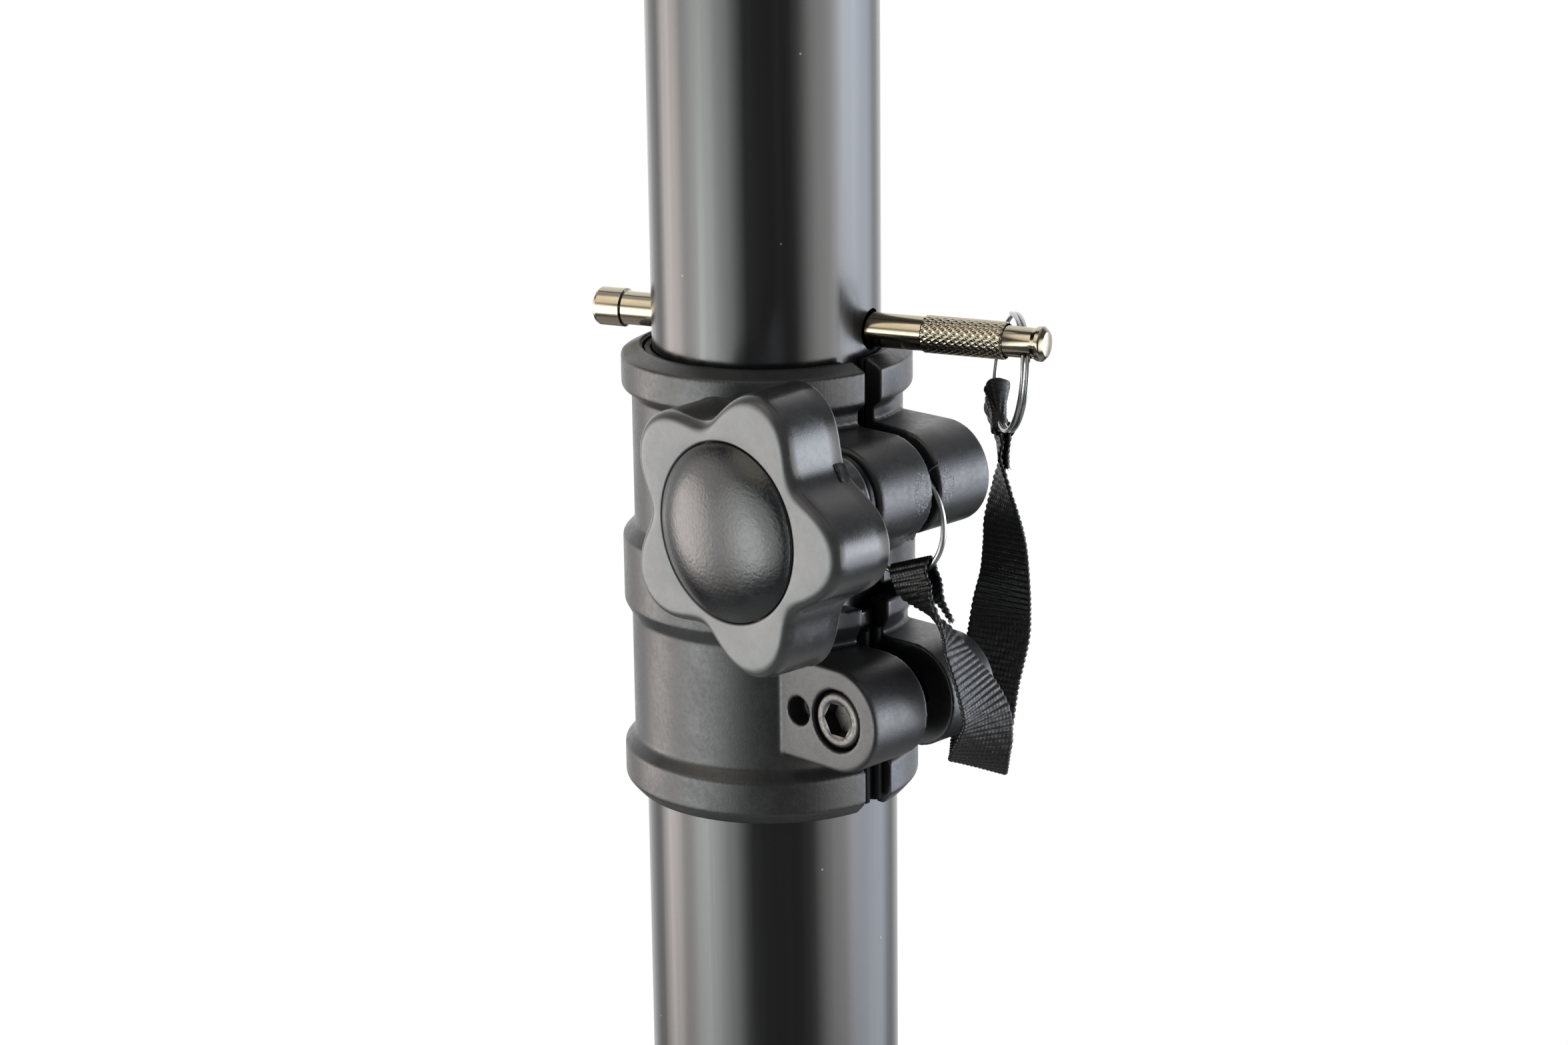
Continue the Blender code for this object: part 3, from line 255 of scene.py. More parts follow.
add_node(tree, "ShaderNodeOutputMaterial", {"Surface": seen.outputs[0]})
floor_mesh.materials.append(paper)
print("floor fades out from", FADE_START, "to", round(FADE_END, 2), "m")

# %% [markdown]
# ## Materials
#
# Each finish starts as a Principled shader with the values that its real material has. Then nodes add
# what the eye reads as real: the grain of a moulding tool, the drawing lines of a tube, the twist of a
# yarn. Patterns read Object coordinates, which are metres here because every finished piece's object
# sits at the origin. A noise whose features should be one millimetre wide has a scale of 1000.
# %% Start a finish
def start_finish(name, colour, roughness, metallic=0.0, specular=0.5):
    """A Principled material, its tree, its shader and the Object coordinates to draw patterns in."""
    finish = bpy.data.materials.new(name)
    finish.use_nodes = True
    tree = finish.node_tree
    shader = tree.nodes["Principled BSDF"]
    shader.inputs["Base Color"].default_value = linear(colour)
    shader.inputs["Roughness"].default_value = roughness
    shader.inputs["Metallic"].default_value = metallic
    shader.inputs["Specular IOR Level"].default_value = specular
    place = add_node(tree, "ShaderNodeTexCoord").outputs["Object"]
    return finish, tree, shader, place


def per_metre(millimetres):
    """The texture scale that makes one feature this many millimetres wide."""
    return 1.0 / (millimetres * MM)


def noise(tree, place, width, detail, roughness=0.5):
    """Noise with features this many millimetres wide."""
    look = {"Vector": place, "Scale": per_metre(width), "Detail": detail, "Roughness": roughness}
    return add_node(tree, "ShaderNodeTexNoise", look).outputs["Fac"]


def bumped(tree, height, strength, depth, normal=None):
    """A normal tilted by a pattern this many millimetres deep, on top of an older one if given."""
    inputs = {"Height": height, "Strength": strength, "Distance": depth * MM}
    if normal:
        inputs["Normal"] = normal
    return add_node(tree, "ShaderNodeBump", inputs).outputs["Normal"]


def source_of(node, socket):
    """The output that is plugged into a socket so far."""
    return node.inputs[socket].links[0].from_socket


# %% [markdown]
# ### Baked black enamel on drawn steel tube
#
# The tubes are drawn steel with a thin black stoved enamel. Drawing leaves very faint lines along the
# tube, and the enamel levels to a slight orange peel. So the reflections are soft upright bands, a
# little streaky, with a few specks of dust baked in.
# %% Enamel for the tubes, legs and crossbar
ENAMEL_BLACK = "#0f0f10"
enamel, tree, shader, place = start_finish("stoved_black_enamel", ENAMEL_BLACK, 0.23, specular=0.55)
squeeze = add_node(tree, "ShaderNodeMapping", {"Vector": place, "Scale": (1.0, 1.0, 0.012)})
lines = noise(tree, squeeze.outputs["Vector"], 1.6, 3.0)
peel = noise(tree, place, 1.1, 2.0)
dust = add_node(tree, "ShaderNodeTexVoronoi", {"Vector": place, "Scale": per_metre(7.0)})
speck = remap(tree, dust.outputs["Distance"], 0.022, 0.035, 1.0, 0.0)
ripple = bumped(tree, lines, 0.06, 0.05)
feed(shader, {"Base Color": mix(tree, speck, linear(ENAMEL_BLACK), linear("#6d6a66")),
              "Roughness": remap(tree, lines, 0.3, 0.7, 0.19, 0.29),
              "Normal": bumped(tree, peel, 0.10, 0.03, ripple)})


# %% [markdown]
# ### Moulded plastics and rubber
#
# The clamp and the tripod's collars are glass-filled nylon, moulded in a spark-eroded tool. That leaves
# a fine matt grain, a few tenths of a millimetre wide, and cloudy patches where the melt cooled
# unevenly. The finish is satin: it takes the side lights as broad grey sheets with no sharp edge. The
# knobs, their caps, the liner, the clamp's key and the feet are made the same way.
# %% Plastics that differ only in grain, tone and gloss
def moulded_finish(name, colour, cloud_colour, roughness, grain, grain_depth, specular=0.5):
    """A moulded plastic: fine tool grain, and clouds a few millimetres wide in tone and gloss."""
    finish, tree, shader, place = start_finish(name, colour, roughness, specular=specular)
    clouds = noise(tree, place, 5.0, 4.0, 0.6)
    both = calc(tree, "ADD", clouds, noise(tree, place, 0.9, 3.0))
    pits = noise(tree, place, grain, 2.0)
    feed(shader, {"Base Color": mix(tree, clouds, linear(colour), linear(cloud_colour)),
                  "Roughness": remap(tree, both, 0.7, 1.3, roughness - 0.06, roughness + 0.08),
                  "Normal": bumped(tree, pits, 0.35, grain_depth)})
    return finish


KNOB_ROUGHNESS = 0.34
clamp_nylon = moulded_finish("glass_filled_nylon", "#131314", "#1b1b1d", 0.39, 0.35, 0.05)
knob_nylon = moulded_finish("satin_knob_nylon", "#1f1f20", "#29292a", KNOB_ROUGHNESS, 0.30, 0.035)
cap_nylon = moulded_finish("cap_polypropylene", "#101112", "#17181a", 0.18, 0.6, 0.1, specular=0.42)
liner_nylon = moulded_finish("liner_acetal", "#070707", "#0d0d0e", 0.50, 0.5, 0.03, specular=0.25)
key_rubber = moulded_finish("clamp_key_rubber", "#030303", "#070708", 0.6, 0.5, 0.03, specular=0.08)
rubber = moulded_finish("foot_rubber", "#111111", "#1a1a19", 0.70, 0.6, 0.08, specular=0.3)

# %% [markdown]
# A knob's face is sparked matt, and its colour is painted paler all over as a painted sheen, the
# room's light on the face, with smudges of rubbing wear in it. Its rim is polished, so that it leaves
# the tool and feels smooth in the hand. The normal's share along the knob's axis, which is Y, tells the
# one from the other.
# %% Polish the knobs' rims, and paint a pale sheen with rubbed smudges on their faces
GLOSS_OF_RIM, GLOSS_OF_FACE = 0.21, 0.37
tree = knob_nylon.node_tree
shader = tree.nodes["Principled BSDF"]
coordinates = add_node(tree, "ShaderNodeTexCoord").outputs
facing = add_node(tree, "ShaderNodeSeparateXYZ", {0: coordinates["Normal"]}).outputs["Y"]
towards_axis = calc(tree, "ABSOLUTE", facing)
base_gloss = remap(tree, towards_axis, 0.35, 0.9, GLOSS_OF_RIM, GLOSS_OF_FACE)
drift = calc(tree, "ADD", source_of(shader, "Roughness"), -KNOB_ROUGHNESS)
smudges = noise(tree, coordinates["Object"], 5.0, 5.0, 0.7)
# painted sheen: every face that looks along the axis is mixed at least two thirds towards pale grey, fully
# where the smudges of wear lie
face_painted_sheen_and_wear = remap(tree, towards_axis, 0.86, 0.99, 0.0, remap(tree, smudges, 0.35, 0.65, 0.68, 1.0))
feed(shader, {"Base Color": mix(tree, face_painted_sheen_and_wear, source_of(shader, "Base Color"), linear("#525456")),
              "Roughness": calc(tree, "ADD", base_gloss, drift)})

# %% [markdown]
# Beside the slit both upper ears carry an oval witness mark, where a slide of the tool met the piece.
# Each one is a worn ring with a rough middle. In the shader it is the distance from a point in the
# ear's skin, with another radius for each direction, made uneven by noise.
# %% Witness marks beside the slit
WITNESS_MARKS = [
    # centre and radii in millimetres, heights from the collar's top edge
    ((40.6, -4.5, -17.9), (3.5, 1.7, 3.2)),
    ((40.6, 2.1, -17.8), (3.5, 1.3, 3.0)),
]
tree = clamp_nylon.node_tree
shader = tree.nodes["Principled BSDF"]
place = add_node(tree, "ShaderNodeTexCoord").outputs["Object"]
ragged = noise(tree, place, 1.1, 4.0, 0.7)
wobble = calc(tree, "MULTIPLY_ADD", ragged, 0.7, -0.35)
wear = 0.0
for centre, radii in WITNESS_MARKS:
    middle = Vector(centre) * MM + Vector((0.0, 0.0, CLAMP_TOP))
    per_radius = [1.0 / (radius * MM) for radius in radii]
    scaled = vector_calc(tree, "MULTIPLY", vector_calc(tree, "SUBTRACT", place, middle), per_radius)
    uneven = calc(tree, "ADD", vector_calc(tree, "LENGTH", scaled), wobble)
    rim = calc(tree, "COMPARE", uneven, 0.85, 0.28)
    inside = remap(tree, uneven, 0.7, 1.1, 0.45, 0.0)
    wear = calc(tree, "MAXIMUM", wear, calc(tree, "MAXIMUM", rim, inside))
streaks = remap(tree, noise(tree, place, 0.5, 3.0), 0.45, 0.62)
pale = calc(tree, "MULTIPLY", wear, streaks)
pale_share = calc(tree, "MULTIPLY", pale, 0.4)
feed(shader, {"Base Color": mix(tree, pale_share, source_of(shader, "Base Color"), linear("#6f7275")),
              "Normal": bumped(tree, pale, 0.5, 0.12, source_of(shader, "Normal"))})

# %% [markdown]
# ### Plated and blackened steel
#
# The pin is nickel plated: a warm mirror, very slightly dulled by handling. Nuts and rivets are zinc
# plated, which is greyer and cloudier. Both rings are bent from drawn spring wire, a duller and colder
# grey. The socket screw is black oxide steel, rubbed bright where the key has scraped it. All of them
# are metals, so their colour is the colour of the reflection, and the grain only changes how sharp it is.
# %% Nickel, spring wire, zinc, brass and black oxide
def plated_finish(name, colour, stain, roughness, spread, grain):
    """A plated metal: a stained tint and a gloss that drifts across the piece."""
    finish, tree, shader, place = start_finish(name, colour, roughness, metallic=1.0)
    drift = noise(tree, place, grain, 4.0, 0.65)
    feed(shader, {"Base Color": mix(tree, drift, linear(colour), linear(stain)),
                  "Roughness": remap(tree, drift, 0.35, 0.65, roughness, roughness + spread),
                  "Normal": bumped(tree, drift, 0.12, 0.02)})
    return finish


nickel = plated_finish("bright_nickel_plate", "#a39c8c", "#948b79", 0.09, 0.08, 2.5)
spring_wire = plated_finish("drawn_spring_wire", "#a9aaa9", "#9a9b9b", 0.24, 0.08, 7.0)
zinc = plated_finish("clear_zinc_plate", "#8f9194", "#77797c", 0.30, 0.16, 1.2)
brass = plated_finish("turned_brass", "#cda65c", "#b08a48", 0.20, 0.12, 1.5)
oxide = plated_finish("black_oxide_steel", "#2c2c2e", "#1c1c1d", 0.28, 0.14, 0.8)
worn_steel = plated_finish("rubbed_black_oxide_steel", "#615f5d", "#3a3938", 0.3, 0.2, 0.7)

# %% [markdown]
# ### Polyester tape
#
# The tether is a black woven tape. Its ribs are real geometry, made further down, so the material only
# adds what is smaller: the twist of the yarn, a gloss that varies from place to place, and painted
# glints, small pale specks in the colour where single filaments would catch the light. The yarn pattern
# follows the tape's own UV map, in metres.
# %% Tape
TAPE_BLACK = "#060607"
YARN_SCALE = 200.0
tape, tree, shader, place = start_finish("woven_polyester_tape", TAPE_BLACK, 0.42, specular=0.42)
along = add_node(tree, "ShaderNodeTexCoord").outputs["UV"]
yarn = add_node(tree, "ShaderNodeTexWave", {"Vector": along, "Scale": YARN_SCALE, "Distortion": 1.5,
                                            "Detail": 1.0}, bands_direction="DIAGONAL").outputs["Fac"]
loose = noise(tree, place, 0.5, 2.0)
# painted glints: pale specks in the colour stand in for light caught by single filaments
painted_glint_specks = remap(tree, noise(tree, place, 0.25, 1.0), 0.72, 0.76)
feed(shader, {"Base Color": mix(tree, painted_glint_specks, linear(TAPE_BLACK), linear("#4a4b4e")),
              "Roughness": remap(tree, loose, 0.35, 0.65, 0.32, 0.6),
              "Normal": bumped(tree, yarn, 0.6, 0.08)})
print("materials made:", len(bpy.data.materials))


# %% [markdown]
# ## Helpers for shapes
#
# A turned or extruded piece is a set of loops of points with faces between them. Corners of an outline
# are written with the radius of their rounding, because real edges are never quite sharp, and the thin
# bright line along an edge is what makes a render look like a photograph.
# %% Outlines, loops and finished pieces
def rounded(corners, steps=4):
    """An outline in metres from corners (x, y, radius) in millimetres, each rounded by its radius."""
    points = []
    for i, (x, y, radius) in enumerate(corners):
        corner = Vector((x, y))
        before = Vector(corners[i - 1][:2]) - corner
        after = Vector(corners[(i + 1) % len(corners)][:2]) - corner
        if radius <= 0.0:
            points.append(corner * MM)
            continue
        half_turn = before.angle(after) / 2
        reach = min(radius / math.tan(half_turn), 0.48 * before.length, 0.48 * after.length)
        start = corner + before.normalized() * reach
        end = corner + after.normalized() * reach
        for step in range(steps + 1):
            s = step / steps
            points.append((start * (1 - s) ** 2 + corner * 2 * s * (1 - s) + end * s * s) * MM)
    return points


def ring_of(radius, height, segments, place=Matrix()):
    """A level circle of points, or one point where the radius is nothing."""
    if radius < 1e-7:
        return [place @ Vector((0.0, 0.0, height))]
    turns = [2 * math.pi * i / segments for i in range(segments)]
    return [place @ Vector((radius * math.cos(t), radius * math.sin(t), height)) for t in turns]


def cover(bm, loops, joined=False):
    """Faces between loops. The end loops are capped, or joined to each other."""
    rows = [[bm.verts.new(point) for point in loop] for loop in loops]
    count = max(len(row) for row in rows)
    pairs = list(zip(rows, rows[1:]))
    if joined:
        pairs.append((rows[-1], rows[0]))
    for first, second in pairs:
        for i in range(count):
            j = (i + 1) % count
            corners = [first[i % len(first)], first[j % len(first)],
                       second[j % len(second)], second[i % len(second)]]
            corners = list(dict.fromkeys(corners))
            if len(corners) > 2:
                bm.faces.new(corners)
    if not joined:
        for row in (rows[0], rows[-1]):
            if len(row) > 2:
                bm.faces.new(row)


def turned(bm, outline, segments, place=Matrix(), joined=True):
    """Spin an outline of (radius, height) round local Z."""
    cover(bm, [ring_of(r, z, segments, place) for r, z in outline], joined)


def prism(bm, outline, low, high, place=Matrix()):
    """Push an outline of (x, y) along local Z."""
    cover(bm, [[place @ Vector((x, y, z)) for x, y in outline] for z in (low, high)])


def rod(bm, radius, low, high, segments, place=Matrix()):
    """A plain cylinder along local Z."""
    cover(bm, [ring_of(radius, z, segments, place) for z in (low, high)])


def arc(centre, radius, start, end, steps):
    """Points along an arc, between two angles in degrees."""
    turns = [math.radians(start + (end - start) * i / steps) for i in range(steps + 1)]
    return [(centre[0] + radius * math.cos(t), centre[1] + radius * math.sin(t)) for t in turns]


def mesh_of(bm, name, sharp_angle=38.0):
    """A bmesh as a smooth-shaded mesh with faces pointing out and creases at sharp edges."""
    bmesh.ops.recalc_face_normals(bm, faces=bm.faces)
    mesh = bpy.data.meshes.new(name)
    bm.to_mesh(mesh)
    bm.free()
    mesh.shade_smooth()
    mesh.set_sharp_from_angle(angle=math.radians(sharp_angle))
    return mesh


def linked(name, mesh):
    """A new object in the scene."""
    obj = bpy.data.objects.new(name, mesh)
    bpy.context.scene.collection.objects.link(obj)
    return obj


def evaluated(obj, name):
    """A plain mesh of what the object's modifiers make."""
    depsgraph = bpy.context.evaluated_depsgraph_get()
    depsgraph.update()
    mesh = bpy.data.meshes.new_from_object(obj.evaluated_get(depsgraph))
    mesh.name = name
    return mesh


def piece(name, mesh, finish, body, slot, *nodes):
    """Finish a piece: its material, the body it moves with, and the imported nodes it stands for."""
    mesh.materials.clear()
    mesh.materials.append(finish)
    obj = linked(name, mesh)
    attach(obj, body)
    if nodes:
        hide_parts(*nodes)
    print(name, len(mesh.polygons), "faces")


def carved(name, base, changes):
    """An object whose Boolean modifiers join and cut shapes in turn, with the shapes to remove later."""
    body = linked(name, mesh_of(base, name))
    helpers = []
    for i, (operation, shape) in enumerate(changes):
        helper = linked("%s_helper_%d" % (name, i), mesh_of(shape, "helper"))
        helpers.append(helper)
        change = body.modifiers.new("change", "BOOLEAN")
        change.operation = operation
        change.object = helper
        change.solver = "EXACT"
    return body, helpers


def discard(*objects):
    """Take helpers out of the scene again."""
    for obj in objects:
        bpy.data.objects.remove(obj, do_unlink=True)


def shape(draw, *sizes, **named):
    """A new bmesh filled by one drawing function."""
    bm = bmesh.new()
    draw(bm, *sizes, **named)
    return bm


# Turns a drawing in the XZ plane upright: its height becomes Z, and it is pushed towards -Y
UPRIGHT = Matrix.Rotation(math.radians(90.0), 4, "X")


# %% [markdown]
# ## Geometry Nodes
#
# A tree is built once, with a named input for each size, and can then be run for several pieces. The
# function below puts it on a mesh, types the sizes into its inputs by their identifiers, and keeps the
# result as a plain mesh.
# %% Build and run a tree
def start_tree(name, sizes):
    """A Geometry Nodes tree with a mesh input and one named input for each size."""
    tree = bpy.data.node_groups.new(name, "GeometryNodeTree")
    tree.interface.new_socket(name="Geometry", in_out="INPUT", socket_type="NodeSocketGeometry")
    tree.interface.new_socket(name="Geometry", in_out="OUTPUT", socket_type="NodeSocketGeometry")
    for size, kind in sizes.items():
        tree.interface.new_socket(name=size, in_out="INPUT", socket_type=kind)
    return tree, add_node(tree, "NodeGroupInput").outputs


def end_tree(tree, geometry, finish_socket):
    """Realize what was instanced, set the material and give the tree its output."""
    real = add_node(tree, "GeometryNodeRealizeInstances", {"Geometry": geometry})
    coloured = add_node(tree, "GeometryNodeSetMaterial",
                        {"Geometry": real.outputs[0], "Material": finish_socket})
    add_node(tree, "NodeGroupOutput", {"Geometry": coloured.outputs[0]})
    print(tree.name, "tree has", len(tree.nodes), "nodes")


def run_tree(tree, name, sizes, mesh=None):
    """The tree's result on a mesh, or on nothing, as a plain mesh."""
    host = linked(name, mesh or bpy.data.meshes.new(name))
    modifier = host.modifiers.new("shape", "NODES")
    modifier.node_group = tree
    for item in tree.interface.items_tree:
        if item.in_out == "INPUT" and item.name in sizes:
            modifier[item.identifier] = sizes[item.name]
    made = evaluated(host, name)
    host.modifiers.remove(modifier)
    discard(host)
    made.shade_smooth()
    return made


# %% [markdown]
# ## The tubes
#
# The base tube and the telescopic mast are plain tubes, so they are turned from a rectangle with
# rounded ends, with enough segments to look round up close. The mast has a row of cross holes for the
# locking pin. A Geometry Nodes tree puts one drill at each point of a line and subtracts them all. The
# drilling leaves uneven faces near the holes, so the walls get exact radial normals afterwards.
# %% Drill a row of cross holes
drill_tree, size = start_tree("row_of_cross_holes", {
    "Hole Radius": "NodeSocketFloat", "Hole Depth": "NodeSocketFloat", "Pitch": "NodeSocketFloat",
    "Count": "NodeSocketInt", "Top Hole": "NodeSocketFloat", "Azimuth": "NodeSocketFloat",
    "Finish": "NodeSocketMaterial"})
start = xyz(drill_tree, Z=size["Top Hole"])
step = xyz(drill_tree, Z=calc(drill_tree, "MULTIPLY", size["Pitch"], -1.0))
places = add_node(drill_tree, "GeometryNodeMeshLine",
                  {"Count": size["Count"], "Start Location": start, "Offset": step})
drill = add_node(drill_tree, "GeometryNodeMeshCylinder",
                 {"Vertices": 40, "Radius": size["Hole Radius"], "Depth": size["Hole Depth"]})
lay = xyz(drill_tree, Y=math.radians(90.0), Z=size["Azimuth"])
drills = add_node(drill_tree, "GeometryNodeInstanceOnPoints",
                  {"Points": places.outputs[0], "Instance": drill.outputs["Mesh"], "Rotation": lay})
real_drills = add_node(drill_tree, "GeometryNodeRealizeInstances", {"Geometry": drills.outputs[0]})
drilled = add_node(drill_tree, "GeometryNodeMeshBoolean",
                   {"Mesh 1": size["Geometry"], "Mesh 2": real_drills.outputs[0]}, operation="DIFFERENCE")
end_tree(drill_tree, drilled.outputs["Mesh"], size["Finish"])

# %% Turn both tubes
TUBE_SEGMENTS = 144
BASE_RADIUS, MAST_RADIUS, WALL = 22.5, 20.0, 2.0
BROKEN_EDGE = 0.5
PIN_AZIMUTH = math.radians(19.3)
PIN_HEIGHT = CLAMP_TOP + 5.2 * MM
# a wall's faces lie further from the axis than this, and their normals are nearly level and radial
INSIDE_ALL_WALLS = 15 * MM
MOST_TILT, LEAST_FACING = 0.02, 0.97


def tube_mesh(name, radius, node):
    """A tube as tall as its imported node, with softly broken edges at both ends."""
    low, high = (corner.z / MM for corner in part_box(node))
    corners = [(radius, low), (radius, high), (radius - WALL, high), (radius - WALL, low)]
    bm = bmesh.new()
    turned(bm, rounded([(x, y, BROKEN_EDGE) for x, y in corners], steps=3), TUBE_SEGMENTS)
    return mesh_of(bm, name)


def set_round_normals(mesh):
    """Exact radial normals on the walls of an upright tube, outside and in."""
    mesh.shade_smooth()
    mesh.set_sharp_from_angle(angle=math.radians(30.0))
    normals = [corner.vector.copy() for corner in mesh.corner_normals]
    for face in mesh.polygons:
        across = Vector((face.center.x, face.center.y, 0.0))
        if abs(face.normal.z) > MOST_TILT or across.length < INSIDE_ALL_WALLS:
            continue
        facing = face.normal.dot(across.normalized())
        if abs(facing) < LEAST_FACING:
            continue
        side = 1.0 if facing > 0 else -1.0
        for loop in face.loop_indices:
            point = mesh.vertices[mesh.loops[loop].vertex_index].co
            normals[loop] = Vector((point.x, point.y, 0.0)).normalized() * side
    mesh.normals_split_custom_set(normals)


base_mesh = tube_mesh("base_tube_smooth", BASE_RADIUS, "base_tube")
set_round_normals(base_mesh)
piece("base_tube_smooth", base_mesh, enamel, "root", "coated_steel", "base_tube")
mast_mesh = run_tree(drill_tree, "mast_tube_smooth", {
    "Hole Radius": 3.6 * MM, "Hole Depth": 60 * MM, "Pitch": 200 * MM, "Count": 7, "Top Hole": PIN_HEIGHT,
    "Azimuth": PIN_AZIMUTH, "Finish": enamel}, tube_mesh("mast_blank", MAST_RADIUS, "mast_tube"))
set_round_normals(mast_mesh)
piece("mast_tube_smooth", mast_mesh, enamel, "mast", "coated_steel", "mast_tube")

# %% [markdown]
# ## The clamp's collar
#
# The collar is one nylon moulding: flanges, two pairs of ears, a slit and holes, all running into each
# other with small fillets. Booleans join and cut the sharp shapes. A voxel remesh then turns them into
# one even skin, a smoothing pass gives every edge and inner corner the small radius of a real tool,
# and a decimation brings the face count down where the skin is flat.
# %% Sizes of the clamp, in millimetres from the collar's top edge
UPPER_AXIS, LOWER_AXIS = (31.6, -18.5), (31.4, -57.1)
UPPER_SLIT, LOWER_SLIT = 3.74, 6.4
# radius, front face and back face of each pair of ears
UPPER_EARS, LOWER_EARS = (9.0, -14.6, 12.9), (9.2, -16.3, 14.7)
EAR_ROOT = 17.5
LINER_SEAT, BASE_SEAT, SEAT_STEP = 21.7, 22.8, -43.0
POCKET_FLATS, POCKET_DEPTH = 10.6, 5.6
CLAMP = Matrix.Translation((0.0, 0.0, CLAMP_TOP))


def across_clamp(axis):
    """The place of something turned, through a point of the XZ plane, its Z running to the front."""
    return CLAMP @ Matrix.Translation((axis[0] * MM, 0.0, axis[1] * MM)) @ UPRIGHT


def ear_shape(axis, radius, front, back):
    """A lug with a round end about the bolt's axis, its long edges broken."""
    outline = [(EAR_ROOT * MM, (axis[1] - radius) * MM)]
    outline += arc((axis[0] * MM, axis[1] * MM), radius * MM, -90.0, 90.0, 40)
    outline.append((EAR_ROOT * MM, (axis[1] + radius) * MM))
    centre = Vector((axis[0] * MM * 0.8, axis[1] * MM))
    edge = 0.6
    loops = []
    for inset, depth in ((edge, -back), (0.18, -back + 0.18), (0.0, -back + edge), (0.0, -front - edge),
                         (0.18, -front - 0.18), (edge, -front)):
        shrink = 1.0 - inset / radius
        loops.append([CLAMP @ UPRIGHT @ Vector((centre.x + (x - centre.x) * shrink,
                                                centre.y + (y - centre.y) * shrink, depth * MM))
                      for x, y in outline])
    bm = bmesh.new()
    cover(bm, loops)
    return bm


def bored(axis, radius, front, back):
    """A drill along Y through a point of the XZ plane."""
    return shape(rod, radius * MM, -back * MM, -front * MM, 40, across_clamp(axis))


def slot(half_width, low, high):
    """The parallel slit in the lower part of the collar."""
    outline = [(0.0, -half_width), (50.0, -half_width), (50.0, half_width), (0.0, half_width)]
    return shape(prism, [(x * MM, y * MM) for x, y in outline], low * MM, high * MM, CLAMP)


def pinched_slot(half_width, low, high):
    """The slit between ears that the knob has drawn together: the rear one leans over to the front."""
    outline = [(0.0, -half_width), (50.0, -half_width), (50.0, -0.1), (40.6, 0.05), (33.0, 0.4),
               (24.5, half_width), (0.0, half_width)]
    return shape(prism, [(x * MM, y * MM) for x, y in outline], low * MM, high * MM, CLAMP)


# %% Carve the collar and give it its moulded skin
collar_outline = rounded([
    (LINER_SEAT, 1.5, 0.1), (22.3, 1.5, 0.2), (25.45, 0.0, 0.35), (25.45, -5.5, 1.0), (23.7, -6.9, 0.6),
    (23.7, -30.3, 1.2), (25.8, -32.5, 0.8), (25.8, -44.3, 0.8), (24.5, -46.8, 1.2), (24.5, -69.2, 1.2),
    (26.3, -71.1, 0.8), (26.3, -76.9, 0.8), (24.4, -79.1, 0.8), (BASE_SEAT, -79.1, 0.3),
    (BASE_SEAT, SEAT_STEP, 0.0), (LINER_SEAT, SEAT_STEP, 0.0)], steps=5)
# a short slot across the slit's foot, with round ends
relief = (arc((6.5 * MM, -39.7 * MM), 1.7 * MM, -90.0, 90.0, 8)
          + arc((-6.5 * MM, -39.7 * MM), 1.7 * MM, 90.0, 270.0, 8))
across_slit = (Matrix.Rotation(math.radians(90.0), 4, "Z") @ UPRIGHT
               @ Matrix.Rotation(math.radians(180.0), 4, "Y"))
pocket_corner = POCKET_FLATS / math.sqrt(3.0) * MM
hexagon = [(pocket_corner * math.cos(math.radians(60 * i)), pocket_corner * math.sin(math.radians(60 * i)))
           for i in range(6)]


def nut_pocket(axis, back):
    """A hexagonal pocket in the rear ear."""
    return shape(prism, hexagon, -(back + 1) * MM, -(back - POCKET_DEPTH) * MM, across_clamp(axis))


collar_body, helpers = carved("collar_sharp", shape(turned, collar_outline, 160, CLAMP), [
    ("UNION", ear_shape(UPPER_AXIS, *UPPER_EARS)), ("UNION", ear_shape(LOWER_AXIS, *LOWER_EARS)),
    ("DIFFERENCE", pinched_slot(UPPER_SLIT / 2, -42.4, 5.0)),
    ("DIFFERENCE", slot(LOWER_SLIT / 2, -82.0, -40.4)),
    ("DIFFERENCE", shape(rod, BASE_SEAT * MM, -82 * MM, -43 * MM, 160, CLAMP)),
    ("DIFFERENCE", shape(rod, LINER_SEAT * MM, -44 * MM, 5 * MM, 160, CLAMP)),
    ("DIFFERENCE", shape(prism, relief, -50 * MM, -17.5 * MM, CLAMP @ across_slit)),
    ("DIFFERENCE", bored(UPPER_AXIS, 3.3, -16, 15)), ("DIFFERENCE", bored(LOWER_AXIS, 3.3, -18, 17)),
    # the screw head's counterbore, and the blind hole beside it
    ("DIFFERENCE", bored(LOWER_AXIS, 5.5, -17.3, -10.0)),
    ("DIFFERENCE", bored((22.6, -57.3), 2.5, -17.3, -12.3)),
    ("DIFFERENCE", nut_pocket(UPPER_AXIS, UPPER_EARS[2])),
    ("DIFFERENCE", nut_pocket(LOWER_AXIS, LOWER_EARS[2]))])


def mould_skin(body, voxel, budget):
    """One even skin over the carved shape, smoothed like a moulding and thinned to a budget of faces."""
    skin = body.modifiers.new("skin", "REMESH")
    skin.mode = "VOXEL"
    skin.voxel_size = voxel * MM
    skin.use_smooth_shade = True
    soften = body.modifiers.new("soften", "SMOOTH")
    soften.factor = 0.5
    soften.iterations = 2
    count = len(evaluated(body, "count").polygons) * 2
    thin = body.modifiers.new("thin", "DECIMATE")
    thin.ratio = min(1.0, budget / count)
    return evaluated(body, body.name)


collar_mesh = mould_skin(collar_body, voxel=0.33, budget=185000)
discard(collar_body, *helpers)
collar_mesh.shade_smooth()
piece("collar_moulding", collar_mesh, clamp_nylon, "root", "nylon", "collar")

# %% [markdown]
# Two faults of the real moulding sit at the slit. A ragged fin of flash hangs from the front ear's
# lower edge, and one hair of plastic bridges the gap. The fin is a strip along the ear's round whose
# reach is random, from a fixed seed. The hair is a thin bent rod.
# %% Flash along the slit
FIN_STEPS = 26
FIN_START, FIN_SWEEP = -98.0, 52.0
HAIR_RADIUS = 0.13

